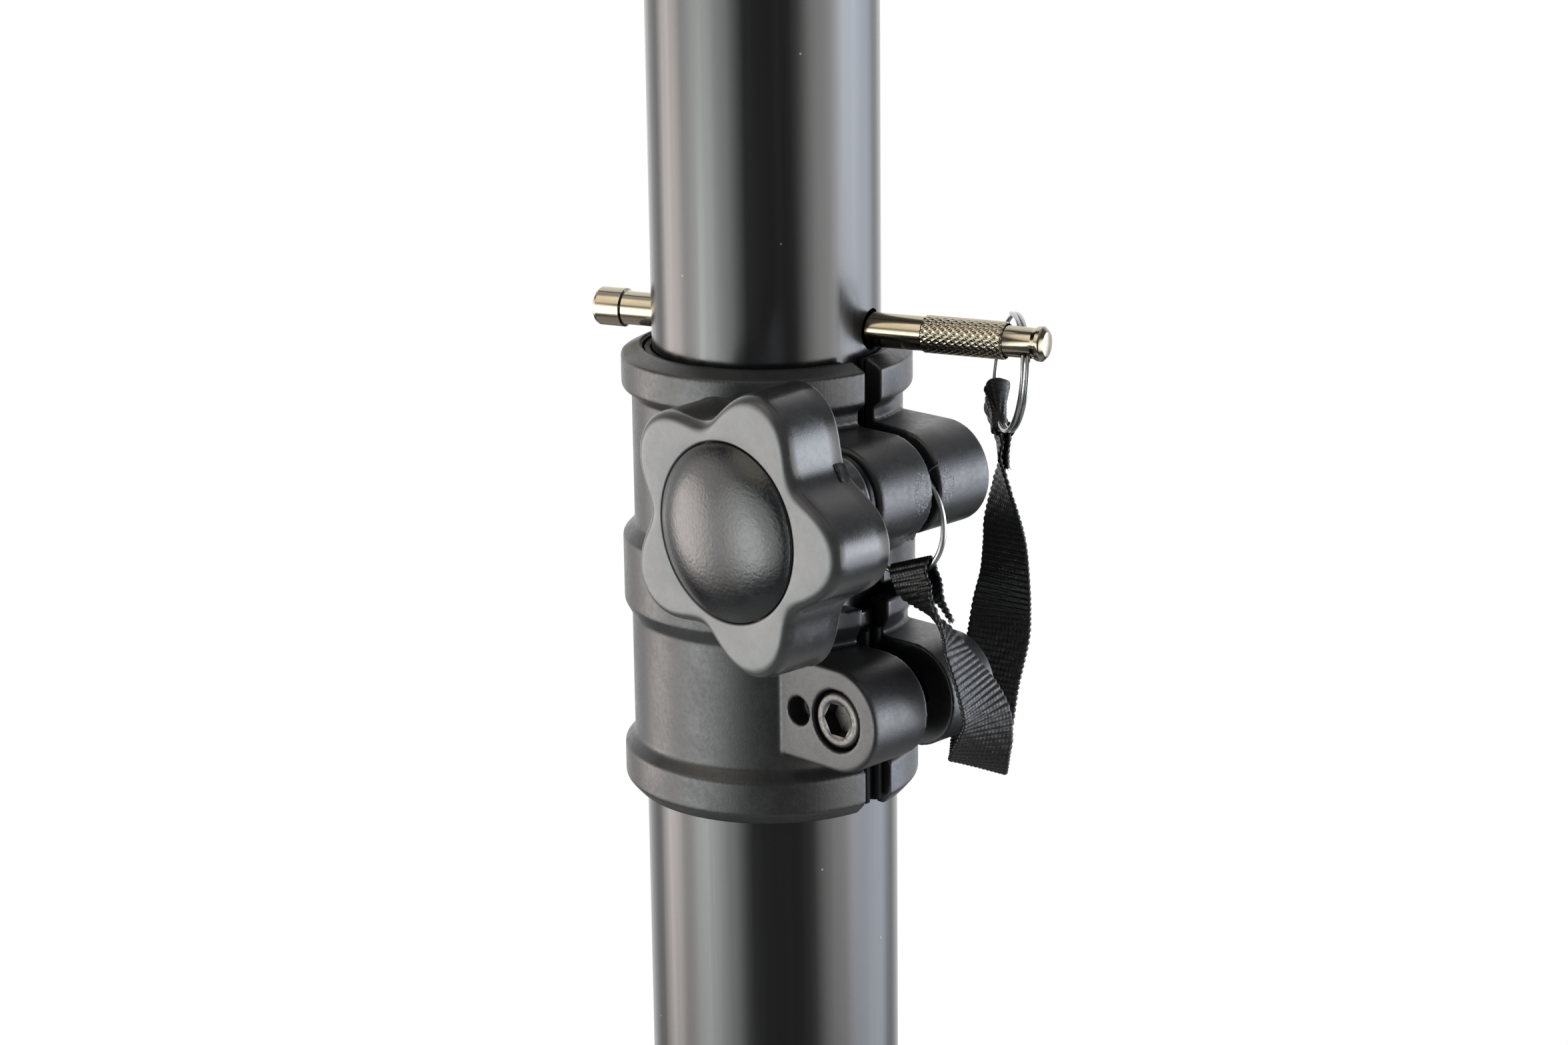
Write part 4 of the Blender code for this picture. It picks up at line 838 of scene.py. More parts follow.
random.seed(11)
fin_loops = []
for step in range(FIN_STEPS + 1):
    turn = math.radians(FIN_START + FIN_SWEEP * step / FIN_STEPS)
    swell = math.sin(math.pi * step / FIN_STEPS)
    reach = 8.9 + swell * random.uniform(0.25, 1.1)
    out_x, out_z = math.cos(turn), math.sin(turn)
    fin_loops.append([CLAMP @ (Vector((UPPER_AXIS[0] + out_x * r, y, UPPER_AXIS[1] + out_z * r)) * MM)
                      for r, y in ((8.2, -1.9), (reach, -1.8), (reach, -1.6), (8.2, -1.4))])
hair = [Vector((39.7, -2.2, -14.8)), Vector((39.9, -1.2, -14.2)), Vector((39.7, 0.2, -14.0)),
        Vector((39.0, 1.2, -13.6))]
fin = bmesh.new()
cover(fin, fin_loops)
cover(fin, [[CLAMP @ ((point + Vector((math.cos(t), 0.0, math.sin(t))) * HAIR_RADIUS) * MM)
             for t in (0.0, 1.26, 2.51, 3.77, 5.03)] for point in hair])
piece("slit_flash", mesh_of(fin, "slit_flash", 60.0), clamp_nylon, "root", "nylon")

# %% [markdown]
# ## The star knobs
#
# The clamp, the tripod's collar and the crossbar's socket are each locked by the same knob: five lobes
# that follow a wave, a ribbed hub behind, and a domed cap pressed into the face. The rim is a stack
# of loops, each the same five-lobed curve drawn in a little more, which rounds the front edge.
# %% Knob, cap and washer
LOBES = 5
POINTS_PER_LOBE = 40
BLUNTNESS = 0.2
MIDDLE_RADIUS, LOBE_SWING = 21.75, 3.05
HUB_RIBS = 25
KNOB_DEPTH, EDGE_ROUND = 12.4, 2.3
STUD_PLAY = 0.3


def star_loop(place, inset, height, wave=1.0):
    """Five blunt lobes: a circle that two cosines swing between 18.7 and 24.8 mm, less the inset."""
    points = []
    count = LOBES * POINTS_PER_LOBE
    for i in range(count):
        turn = 2 * math.pi * i / count
        swing = LOBE_SWING * math.cos(LOBES * turn) + BLUNTNESS * (1.0 - math.cos(2 * LOBES * turn))
        radius = (MIDDLE_RADIUS - inset + wave * swing) * MM
        points.append(place @ Vector((radius * math.cos(turn), radius * math.sin(turn), height * MM)))
    return points


def hub_loop(place, radius, height, flute=0.0):
    """The hub's round, with shallow ribs that key it to the tool."""
    points = []
    count = LOBES * POINTS_PER_LOBE
    for i in range(count):
        turn = 2 * math.pi * i / count
        reach = (radius - flute * (0.5 - 0.5 * math.cos(HUB_RIBS * turn))) * MM
        points.append(place @ Vector((reach * math.cos(turn), reach * math.sin(turn), height * MM)))
    return points


def knob_mesh(name, place, hub_length, stud):
    """From the bore outwards: hub, rear face, rim with its rounded front edge, and the cap's seat."""
    back, front = hub_length, hub_length + KNOB_DEPTH
    bore = stud + STUD_PLAY
    hub = [(bore, front - 7.0), (bore, 1.8), (8.3, 1.8), (8.6, 2.0), (8.6, 2.6), (8.5, 2.9, 0.12),
           (8.5, back - 1.2, 0.12), (9.0, back - 0.4), (10.0, back)]
    rim = [(7.0, back, 0.4), (1.2, back), (0.5, back + 0.05), (0.12, back + 0.2), (-0.08, back + 0.45),
           (-0.08, back + 0.65), (0.1, back + 0.95), (0.12, back + 3.0), (0.3, front - EDGE_ROUND - 0.3)]
    for step in range(1, 9):
        turn = math.radians(90.0 * step / 8)
        rim.append((0.3 + EDGE_ROUND * (1 - math.cos(turn)), front - EDGE_ROUND * (1 - math.sin(turn))))
    rim += [(3.6, front, 0.85), (4.9, front, 0.45)]
    cap_seat = [(15.4, front), (15.12, front - 0.08), (15.0, front - 0.3), (15.0, front - 2.0)]
    bm = bmesh.new()
    cover(bm, [hub_loop(place, *loop) for loop in hub] + [star_loop(place, *loop) for loop in rim]
          + [hub_loop(place, *loop) for loop in cap_seat])
    return mesh_of(bm, name, 60.0)


def cap_mesh(name, place, hub_length):
    """A shallow pillow on a short skirt: nearly a ball in the middle, steeper towards the rim."""
    front = hub_length + KNOB_DEPTH
    rim, rise, ball_share = 14.6, 3.5, 0.7
    outline = [(0.0, front - 1.7), (14.75, front - 1.7), (14.85, front - 1.5), (14.85, front - 0.05),
               (14.75, front + 0.08)]
    for step in range(25):
        share = 1 - step / 24
        fall = ball_share * share ** 2 + (1 - ball_share) * share ** 6
        outline.append((rim * share, front + 0.15 + rise * (1 - fall)))
    bm = bmesh.new()
    turned(bm, [(r * MM, z * MM) for r, z in outline], 120, place, joined=False)
    return mesh_of(bm, name, 50.0)


def washer_mesh(name, place, bore, radius):
    """A washer with rounded edges, 1.2 mm thick."""
    outline = rounded([(bore, 0.3, 0.1), (radius, 0.3, 0.3), (radius, 1.5, 0.3), (bore, 1.5, 0.1)], 3)
    bm = bmesh.new()
    turned(bm, outline, 72, place)
    return mesh_of(bm, name)


KNOB_TURN = Matrix.Rotation(math.radians(-1.4), 4, "Z")
CLAMP_KNOB_SEAT = (UPPER_AXIS[0] * MM, UPPER_EARS[1] * MM, CLAMP_TOP + UPPER_AXIS[1] * MM)
KNOBS = {
    # prefix: seat of the washer, hub length, stud radius, washer radius
    "clamp_": (Matrix.Translation(CLAMP_KNOB_SEAT) @ UPRIGHT @ KNOB_TURN, 14.8, 3.0, 8.2),
    "leg_": (Matrix.Translation((0.0, -40 * MM, 652.368 * MM)) @ UPRIGHT, 12.0, 4.0, 9.0),
    "tbar_": (Matrix.Translation((0.0, -36 * MM, 1565.2 * MM)) @ UPRIGHT, 12.0, 4.0, 9.0),
}
for prefix, (seat, hub_length, stud, washer) in KNOBS.items():
    name = prefix + "knob"
    piece(name + "_moulding", knob_mesh(name, seat, hub_length, stud), knob_nylon, name, "knob_plastic", name)
    piece(name + "_dome", cap_mesh(name, seat, hub_length), cap_nylon, name, "cap_plastic", name + "_cap")
    piece(name + "_washer_ring", washer_mesh(name, seat, stud + STUD_PLAY, washer), oxide,
          prefix + "washer", "black_oxide", name + "_washer")

# %% [markdown]
# The knob was filled through its rim, in the hollow between two lobes. The gate was twisted off by
# hand, which left a small torn scar at the rim's rear edge.
# %% Gate scar on the clamp's knob
seat = KNOBS["clamp_"][0]
scar = bmesh.new()
bmesh.ops.create_cube(scar, size=1.0)
bmesh.ops.subdivide_edges(scar, edges=scar.edges, cuts=3, use_grid_fill=True)
random.seed(4)
for vert in scar.verts:
    vert.co = Vector((vert.co.x * 0.8, vert.co.y * 3.0, vert.co.z * 2.0)) * MM
    vert.co += Vector([random.uniform(-0.16, 0.16) for axis in range(3)]) * MM
bmesh.ops.transform(scar, matrix=seat @ Matrix.Rotation(math.radians(36.0), 4, "Z")
                    @ Matrix.Translation((18.55 * MM, 0.0, 16.2 * MM)), verts=scar.verts)
piece("clamp_knob_scar", mesh_of(scar, "clamp_knob_scar", 30.0), liner_nylon, "clamp_knob", "knob_plastic")

# %% [markdown]
# ## The locking pin
#
# The pin is turned from bar and plated: a shouldered tip, a plain shank, a diamond
# knurled grip, a neck with a cross hole for its ring, and a rounded head. The knurl is drawn as two
# families of screw lines that cross. The tree takes a fine cylinder and lifts it to a sharp ridge
# along each line, which leaves a shallow diamond-shaped dimple between the ridges. A rolled knurl has
# it the other way round, with grooves along the lines and raised diamonds between them.
# %% A knurl from crossing ridges
knurl_tree, size = start_tree("diamond_knurl", {
    "Radius": "NodeSocketFloat", "Length": "NodeSocketFloat", "Ridge Height": "NodeSocketFloat",
    "Rows": "NodeSocketFloat", "Lead": "NodeSocketFloat", "End Taper": "NodeSocketFloat",
    "Finish": "NodeSocketMaterial"})
sleeve = add_node(knurl_tree, "GeometryNodeMeshCylinder",
                  {"Vertices": 200, "Side Segments": 130, "Radius": size["Radius"],
                   "Depth": size["Length"]}, fill_type="NONE")
where = add_node(knurl_tree, "GeometryNodeInputPosition").outputs[0]
axes = add_node(knurl_tree, "ShaderNodeSeparateXYZ", {0: where}).outputs
turn = calc(knurl_tree, "ARCTAN2", axes["Y"], axes["X"])
half_turns = calc(knurl_tree, "MULTIPLY", calc(knurl_tree, "MULTIPLY", turn, size["Rows"]), 0.5)
advance = calc(knurl_tree, "DIVIDE", axes["Z"], size["Lead"])
advance_turns = calc(knurl_tree, "MULTIPLY", advance, math.pi)
off_line = []
for operation in ("ADD", "SUBTRACT"):
    phase = calc(knurl_tree, operation, half_turns, advance_turns)
    off_line.append(calc(knurl_tree, "ABSOLUTE", calc(knurl_tree, "SINE", phase)))
# minus one on a line of either family, and nought in the middle of a dimple
below = calc(knurl_tree, "SUBTRACT", calc(knurl_tree, "MINIMUM", *off_line), 1.0)
outward = calc(knurl_tree, "MULTIPLY", below, size["Ridge Height"])
half_length = calc(knurl_tree, "MULTIPLY", size["Length"], 0.5)
taper_start = calc(knurl_tree, "SUBTRACT", half_length, size["End Taper"])
from_middle = calc(knurl_tree, "ABSOLUTE", axes["Z"])
taper = remap(knurl_tree, from_middle, taper_start, half_length, 0.0, size["End Taper"])
drawn_in = calc(knurl_tree, "ADD", outward, taper)
radius_left = calc(knurl_tree, "SUBTRACT", size["Radius"], drawn_in)
share = calc(knurl_tree, "DIVIDE", radius_left, size["Radius"])
moved = vector_calc(knurl_tree, "MULTIPLY", where, xyz(knurl_tree, X=share, Y=share, Z=1.0))
knurled = add_node(knurl_tree, "GeometryNodeSetPosition",
                   {"Geometry": sleeve.outputs["Mesh"], "Position": moved})
end_tree(knurl_tree, knurled.outputs[0], size["Finish"])

# %% Turn the pin, drill its neck and put on the knurl
KNURL_START, KNURL_END = 30.0, 44.9
RING_HOLE = 48.0
RING_RADIUS, RING_DROP = 10.0, 6.8
RING_AZIMUTH, RING_LEAN = math.radians(144.0), math.radians(5.5)
PIN_PLACE = (Matrix.Translation((0.0, 0.0, PIN_HEIGHT)) @ Matrix.Rotation(PIN_AZIMUTH, 4, "Z")
             @ Matrix.Rotation(math.radians(90.0), 4, "Y"))

hole = (Vector((math.cos(PIN_AZIMUTH), math.sin(PIN_AZIMUTH), 0.0)) * RING_HOLE * MM
        + Vector((0, 0, PIN_HEIGHT)))
ring_side = Vector((math.cos(RING_AZIMUTH), math.sin(RING_AZIMUTH), 0.0))
upright = Vector((0.0, 0.0, 1.0))
ring_up = upright * math.cos(RING_LEAN) + ring_side.cross(upright) * math.sin(RING_LEAN)
ring_reach = math.sqrt(RING_RADIUS ** 2 - RING_DROP ** 2)
ring_centre = hole + (ring_side * ring_reach - ring_up * RING_DROP) * MM
ring_face = ring_side.cross(ring_up)

pin_outline = rounded([
    (0.0, -32.6, 0.0), (3.2, -32.6, 0.4), (3.45, -32.0, 0.3), (3.45, -27.4, 0.15), (3.0, -27.2, 0.1),
    (3.0, 30.1, 0.0), (2.75, 30.2, 0.0), (2.75, 44.8, 0.0), (2.65, 45.1, 0.0), (2.65, 49.8, 0.5),
    (3.0, 50.6, 0.4), (3.05, 51.4, 0.5), (2.2, 52.2, 0.9), (0.0, 52.4, 0.0)], 5)
along = (ring_side * RING_DROP + ring_up * ring_reach).normalized()
drill_place = Matrix.Translation(hole) @ along.to_track_quat("Z", "Y").to_matrix().to_4x4()
pin_body, helpers = carved("pin_sharp", shape(turned, pin_outline, 96, PIN_PLACE, joined=False),
                           [("DIFFERENCE", shape(rod, 1.0 * MM, -8 * MM, 8 * MM, 40, drill_place))])
pin_mesh = evaluated(pin_body, "lock_pin_turned")
discard(pin_body, *helpers)
pin_mesh.set_sharp_from_angle(angle=math.radians(35.0))
knurl_mesh = run_tree(knurl_tree, "knurl", {
    "Radius": 3.1 * MM, "Length": (KNURL_END - KNURL_START) * MM, "Ridge Height": 0.14 * MM, "Rows": 20.0,
    "Lead": 1.45 * MM, "End Taper": 0.2 * MM, "Finish": nickel})
radii = [vert.co.xy.length / MM for vert in knurl_mesh.vertices]
print("knurl from", round(min(radii), 3), "to", round(max(radii), 3), "mm in radius")
knurl_mesh.transform(PIN_PLACE @ Matrix.Translation((0.0, 0.0, (KNURL_START + KNURL_END) / 2 * MM)))


def one_mesh(name, *meshes):
    """Several meshes as one."""
    bm = bmesh.new()
    for mesh in meshes:
        bm.from_mesh(mesh)
    joined = bpy.data.meshes.new(name)
    bm.to_mesh(joined)
    bm.free()
    return joined


piece("lock_pin_turned", one_mesh("lock_pin_turned", pin_mesh, knurl_mesh), nickel, "lock_pin",
      "nickel_plate", "lock_pin")

# %% [markdown]
# ## Two wire rings
#
# The pin's ring is a split ring: about one and a half turns of springy wire, which lie side by side
# where they overlap, with a short crossing where one turn changes over to the other. The clamp's ring
# is a little more than one turn of thin wire, pushed through the slit, and its cut end stands out.
# Both follow the same rule, so one tree makes them: a circle that climbs its step in a short stretch,
# and a round wire swept along.
# %% Sweep a wire along its turns
ring_tree, size = start_tree("wound_wire_ring", {
    "Ring Radius": "NodeSocketFloat", "Wire Radius": "NodeSocketFloat", "Turns": "NodeSocketFloat",
    "Step": "NodeSocketFloat", "Change Start": "NodeSocketFloat", "Change End": "NodeSocketFloat",
    "Points": "NodeSocketInt", "Finish": "NodeSocketMaterial"})
line = add_node(ring_tree, "GeometryNodeCurvePrimitiveLine").outputs[0]
wound = add_node(ring_tree, "GeometryNodeResampleCurve", {"Curve": line, "Count": size["Points"]})
progress = add_node(ring_tree, "GeometryNodeSplineParameter").outputs["Factor"]
turns = calc(ring_tree, "MULTIPLY", progress, size["Turns"])
angle = calc(ring_tree, "MULTIPLY", turns, 2 * math.pi)
change = remap(ring_tree, turns, size["Change Start"], size["Change End"], -0.5, 0.5, "SMOOTHSTEP")
cosine, sine = (calc(ring_tree, operation, angle) for operation in ("COSINE", "SINE"))
spot = xyz(ring_tree, X=calc(ring_tree, "MULTIPLY", cosine, size["Ring Radius"]),
           Y=calc(ring_tree, "MULTIPLY", sine, size["Ring Radius"]),
           Z=calc(ring_tree, "MULTIPLY", change, size["Step"]))
laid = add_node(ring_tree, "GeometryNodeSetPosition", {"Geometry": wound.outputs[0], "Position": spot})
wire = add_node(ring_tree, "GeometryNodeCurvePrimitiveCircle",
                {"Resolution": 16, "Radius": size["Wire Radius"]})
swept = add_node(ring_tree, "GeometryNodeCurveToMesh",
                 {"Curve": laid.outputs[0], "Profile Curve": wire.outputs[0], "Fill Caps": True})
end_tree(ring_tree, swept.outputs[0], size["Finish"])

# %% Lay both rings in place
RING_START = 80.0
split_ring = run_tree(ring_tree, "pin_split_ring", {
    "Ring Radius": RING_RADIUS * MM, "Wire Radius": 0.4 * MM, "Turns": 1.56, "Step": 0.85 * MM,
    "Change Start": 0.6, "Change End": 0.96, "Points": 240, "Finish": spring_wire})
ring_turn = Matrix.Rotation(math.radians(RING_START), 4, "Z")
split_ring.transform(Matrix.Translation(ring_centre) @ ring_face.to_track_quat("Z", "Y").to_matrix().to_4x4()
                     @ ring_turn)
piece("pin_split_ring", split_ring, spring_wire, "lock_pin", "nickel_plate", "pin_ring")
wire_ring = run_tree(ring_tree, "tether_wire_ring", {
    "Ring Radius": 9.9 * MM, "Wire Radius": 0.5 * MM, "Turns": 1.06, "Step": 0.2 * MM,
    "Change Start": 0.9, "Change End": 1.06, "Points": 160, "Finish": spring_wire})
wire_ring.transform(Matrix.Translation((32.1 * MM, -0.85 * MM, CLAMP_TOP - 24.45 * MM)) @ UPRIGHT
                    @ Matrix.Rotation(math.radians(40.0), 4, "Z"))
piece("tether_wire_ring", wire_ring, spring_wire, "root", "nickel_plate", "tether_ring")

# %% [markdown]
# ## The tether tape
#
# A narrow woven tape ties the pin to the clamp, so that it can't be lost. It goes through one ring,
# falls in a loop and is led through the other, so it is modelled directly as a ribbon along a smooth
# route. Its cross ribs are a weave with thick weft, so a tree lifts the skin in a row of low waves
# that follow the tape's own length. At each cut end loose filaments stand out.
# %% The route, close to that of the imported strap
TO_RIGHT, TO_FRONT = Vector((0.71, 0.704, 0.0)), Vector((0.704, -0.71, 0.0))


def face(degrees):
    """A direction across the tape, from the view's right round to its front."""
    return TO_RIGHT * math.cos(math.radians(degrees)) + TO_FRONT * math.sin(math.radians(degrees))


def tilted(degrees, slope):
    """The same, for a tape whose left edge hangs higher."""
    return (face(degrees) + Vector((0.0, 0.0, slope))).normalized()


def hook(wire, side, inward, across, spread, depth, width):
    """Stations of tape led over a ring's wire, through the ring, from one side to the other."""
    stations = []
    for step in range(5):
        turn = math.radians(45.0 * step)
        place = Vector(wire) + side * (spread * math.cos(turn)) + inward * (depth * math.sin(turn))
        stations.append((place, across, width * (0.84 + 0.16 * math.sin(turn))))
    return stations


def tape_route():
    """Stations of the tape: place from the collar's top edge in millimetres, direction across, width."""
    clamp_loop = [((40.4, 2.7, -41.4), face(82), 10), ((38.8, 2.2, -38.9), face(78), 10),
                  ((37.1, 1.6, -36.4), face(60), 10)]
    clamp_loop += hook((35.5, -0.85, -33.75), Vector((0.0, 1.0, 0.0)), Vector((-0.342, 0.0, 0.94)),
                       Vector((0.94, 0.0, 0.342)), 1.4, 2.2, 9.5)
    clamp_loop += [((36.6, -1.7, -36.6), face(52), 10), ((38.5, -0.5, -39.7), face(70), 10)]
    front_run = [((40.2, 1.0, -42.8), face(90), 10), ((41.6, 1.8, -45.3), face(104), 10),
                 ((43.3, 2.1, -48.0), face(114), 10), ((45.6, 3.0, -52.4), face(130), 10),
                 ((47.0, 4.4, -57.9), face(146), 10), ((46.2, 5.0, -62.4), face(163), 10.3),
                 ((44.4, 5.9, -66.0), tilted(175, 0.14), 10.3)]
    fold = [((42.0, 8.2, -68.9), tilted(180, 0.27), 10.3), ((38.8, 11.9, -70.4), tilted(180, 0.3), 10.3),
            ((35.2, 16.4, -69.6), tilted(180, 0.27), 10.4)]
    rear_run = [((32.4, 20.6, -66.0), tilted(180, 0.14), 10.6), ((31.7, 22.7, -59.7), face(180), 10.8),
                ((32.8, 24.0, -51.6), face(182), 10.8), ((33.2, 24.4, -46.0), face(195), 10.4),
                ((33.6, 24.8, -40.3), face(216), 10.2), ((33.6, 24.8, -34.7), face(226), 10.2),
                ((33.4, 24.6, -31.0), face(232), 10.0), ((33.3, 24.5, -27.0), face(245), 9.6),
                ((33.2, 24.4, -22.9), face(258), 8.5)]
    turn = math.radians(-56.0)
    outward = ring_side * math.cos(turn) + ring_up * math.sin(turn)
    sleeve = (ring_up * 0.9 + ring_side * 0.43).normalized()
    wire = (ring_centre - Vector((0.0, 0.0, CLAMP_TOP))) / MM + outward * RING_RADIUS
    pinch = Vector((-0.7, 0.7, 0.15))
    pin_loop = [((33.2, 24.3, -19.6), pinch, 6.5), ((33.1, 23.8, -17.0), pinch.lerp(sleeve, 0.35), 7.5),
                ((33.0, 23.5, -14.2), pinch.lerp(sleeve - TO_RIGHT * 0.3, 0.65), 7.8),
                ((32.5, 22.9, -11.6), pinch.lerp(sleeve - TO_RIGHT * 0.45, 0.9), 8.0)]
    pin_loop += hook(wire, -ring_face, -outward, sleeve, 1.05, 1.6, 9.6)
    pin_loop += [((33.5, 24.2, -11.4), pinch.lerp(sleeve - TO_RIGHT * 0.45, 0.9), 9.2),
                 ((33.8, 24.5, -14.2), pinch.lerp(sleeve - TO_RIGHT * 0.2, 0.65), 8.2),
                 ((33.8, 24.7, -17.0), pinch.lerp(sleeve, 0.35), 7.0),
                 ((33.7, 24.9, -19.4), pinch.lerp(sleeve, 0.1), 6.0)]
    stations = clamp_loop + front_run + fold + rear_run + pin_loop
    middle_of_fold = len(clamp_loop) + len(front_run) + 1
    return [(Vector(p), a.normalized(), float(w)) for p, a, w in stations], middle_of_fold


def between(before, start, end, after, s):
    """A smooth curve through the two middle values."""
    return (start * 2 + (end - before) * s + (before * 2 - start * 5 + end * 4 - after) * s * s
            + (start * 3 - before - end * 3 + after) * s ** 3) * 0.5


def fine_route(stations, spacing=0.14):
    """Stations close enough together to carry the ribs."""
    fine = []
    last = len(stations) - 1
    for i in range(last):
        quad = [stations[min(max(i + k, 0), last)] for k in (-1, 0, 1, 2)]
        steps = max(1, round((quad[2][0] - quad[1][0]).length / spacing))
        for step in range(steps):
            s = step / steps
            fine.append(tuple(between(*(station[part] for station in quad), s) for part in range(3)))
    fine.append(stations[-1])
    return fine


# %% Lift the ribs with Geometry Nodes
rib_tree, size = start_tree("tape_ribs", {"Rib Spacing": "NodeSocketFloat", "Rib Height": "NodeSocketFloat",
                                          "Cord Spacing": "NodeSocketFloat", "Finish": "NodeSocketMaterial"})
waves = []
for attribute, spacing in (("along", size["Rib Spacing"]), ("across", size["Cord Spacing"])):
    stored = add_node(rib_tree, "GeometryNodeInputNamedAttribute", {"Name": attribute}, data_type="FLOAT")
    count = calc(rib_tree, "DIVIDE", stored.outputs["Attribute"], spacing)
    wave = calc(rib_tree, "SINE", calc(rib_tree, "MULTIPLY", count, math.pi))
    waves.append(calc(rib_tree, "ABSOLUTE", wave))
dents = calc(rib_tree, "MULTIPLY_ADD", waves[1], 0.5, 0.5)
height = calc(rib_tree, "MULTIPLY", waves[0], dents)
lift = calc(rib_tree, "MULTIPLY", height, size["Rib Height"])
outwards = add_node(rib_tree, "GeometryNodeInputNormal").outputs[0]
offset = vector_calc(rib_tree, "SCALE", outwards, Scale=lift)
ribbed = add_node(rib_tree, "GeometryNodeSetPosition", {"Geometry": size["Geometry"], "Offset": offset})
end_tree(rib_tree, ribbed.outputs[0], size["Finish"])

# %% Fray the cut ends
fray_tree, size = start_tree("frayed_end", {
    "Filaments": "NodeSocketFloat", "Filament Length": "NodeSocketFloat",
    "Filament Radius": "NodeSocketFloat", "Seed": "NodeSocketInt", "Finish": "NodeSocketMaterial"})
roots = add_node(fray_tree, "GeometryNodeDistributePointsOnFaces",
                 {"Mesh": size["Geometry"], "Density": size["Filaments"], "Seed": size["Seed"]})
tip = xyz(fray_tree, Z=size["Filament Length"])
bend = vector_calc(fray_tree, "MULTIPLY", tip, (0.25, 0.1, 0.6))
lean = vector_calc(fray_tree, "SCALE", xyz(fray_tree, X=size["Filament Length"]), Scale=0.35)
knee = vector_calc(fray_tree, "ADD", bend, lean)
filament = add_node(fray_tree, "GeometryNodeCurveQuadraticBezier",
                    {"Resolution": 4, "Start": (0.0, 0.0, 0.0), "Middle": knee, "End": tip})
section = add_node(fray_tree, "GeometryNodeCurvePrimitiveCircle",
                   {"Resolution": 4, "Radius": size["Filament Radius"]})
thread = add_node(fray_tree, "GeometryNodeCurveToMesh",
                  {"Curve": filament.outputs[0], "Profile Curve": section.outputs[0], "Fill Caps": True})
wander = add_node(fray_tree, "FunctionNodeRandomValue",
                  {0: (-0.7, -0.7, -3.1), 1: (0.7, 0.7, 3.1), "Seed": size["Seed"]}, data_type="FLOAT_VECTOR")
turned_root = add_node(fray_tree, "FunctionNodeRotateRotation",
                       {"Rotation": roots.outputs["Rotation"], "Rotate By": wander.outputs["Value"]},
                       rotation_space="LOCAL")
growth = add_node(fray_tree, "FunctionNodeRandomValue", {2: 0.35, 3: 1.0, "Seed": size["Seed"]},
                  data_type="FLOAT")
threads = add_node(fray_tree, "GeometryNodeInstanceOnPoints",
                   {"Points": roots.outputs["Points"], "Instance": thread.outputs[0],
                    "Rotation": turned_root.outputs[0], "Scale": growth.outputs[1]})
end_tree(fray_tree, threads.outputs[0], size["Finish"])

# %% Weave both lengths of tape
TAPE_THICKNESS = 0.45
RIB_HEIGHT = 0.26 * MM
ACROSS_POINTS = 42


def ribbon(name, stations, start_length, cut_at_end):
    """A closed ribbon with its length and width stored on its points, and a face over its cut end."""
    loops, lengths, crossings = [], [], []
    length = start_length
    skin = TAPE_THICKNESS / 2
    edge_turns = [math.radians(t) for t in (45.0, 0.0, -45.0)]
    for i, (middle, across, width) in enumerate(stations):
        before, after = stations[max(i - 1, 0)][0], stations[min(i + 1, len(stations) - 1)][0]
        if i:
            length += (middle - stations[i - 1][0]).length * MM
        tangent = (after - before).normalized()
        across = (across - tangent * across.dot(tangent)).normalized()
        normal = tangent.cross(across)
        half = width / 2 - skin
        section = [(half - 2 * half * k / ACROSS_POINTS, skin) for k in range(ACROSS_POINTS + 1)]
        section += [(-half - skin * math.cos(t), skin * math.sin(t)) for t in edge_turns]
        section += [(-half + 2 * half * k / ACROSS_POINTS, -skin) for k in range(ACROSS_POINTS + 1)]
        section += [(half + skin * math.cos(t), -skin * math.sin(t)) for t in edge_turns]
        loops.append([CLAMP @ ((middle + across * u + normal * v) * MM) for u, v in section])
        lengths += [length] * len(section)
        crossings += [u * MM for u, v in section]
    bm = bmesh.new()
    cover(bm, loops)
    bmesh.ops.recalc_face_normals(bm, faces=bm.faces)
    mesh = bpy.data.meshes.new(name)
    bm.to_mesh(mesh)
    bm.free()
    for attribute, values in (("along", lengths), ("across", crossings)):
        mesh.attributes.new(attribute, "FLOAT", "POINT").data.foreach_set("value", values)
    cut = loops[-1] if cut_at_end else list(reversed(loops[0]))
    cap = bmesh.new()
    cap.faces.new([cap.verts.new(point) for point in cut])
    cut_face = bpy.data.meshes.new(name + "_cut")
    cap.to_mesh(cut_face)
    cap.free()
    return mesh, cut_face, length


def yarn_map(mesh):
    """A UV map in metres: along the tape and across it."""
    lengths = [item.value for item in mesh.attributes["along"].data]
    crossings = [item.value for item in mesh.attributes["across"].data]
    layer = mesh.uv_layers.new(name="yarn")
    for loop in mesh.loops:
        layer.data[loop.index].uv = (lengths[loop.vertex_index], crossings[loop.vertex_index])


stations, fold_middle = tape_route()
fine_front = fine_route(stations[:fold_middle + 1])
fine_rear = fine_route(stations[fold_middle:])
tape_length = 0.0
for name, fine, cut_at_end, seed in (("tape_front", fine_front, False, 3), ("tape_rear", fine_rear, True, 8)):
    blank, cut_face, reached = ribbon(name, fine, tape_length, cut_at_end)
    woven = run_tree(rib_tree, name, {"Rib Spacing": 1.06 * MM, "Rib Height": RIB_HEIGHT,
                                      "Cord Spacing": 0.72 * MM, "Finish": tape}, blank)
    yarn_map(woven)
    fray = run_tree(fray_tree, name + "_fray", {
        "Filaments": 16.0e6, "Filament Length": 0.9 * MM, "Filament Radius": 0.045 * MM, "Seed": seed,
        "Finish": tape}, cut_face)
    strip = linked(name, one_mesh(name, woven, fray))
    strip.data.materials.append(tape)
    strip.data.shade_smooth()
    if name == "tape_front":
        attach(strip, "root")
    else:
        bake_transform(strip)
    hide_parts("tether_strap")
    print(name, round((reached - tape_length) / MM, 1), "mm long,", len(strip.data.polygons), "faces")
    tape_length = reached

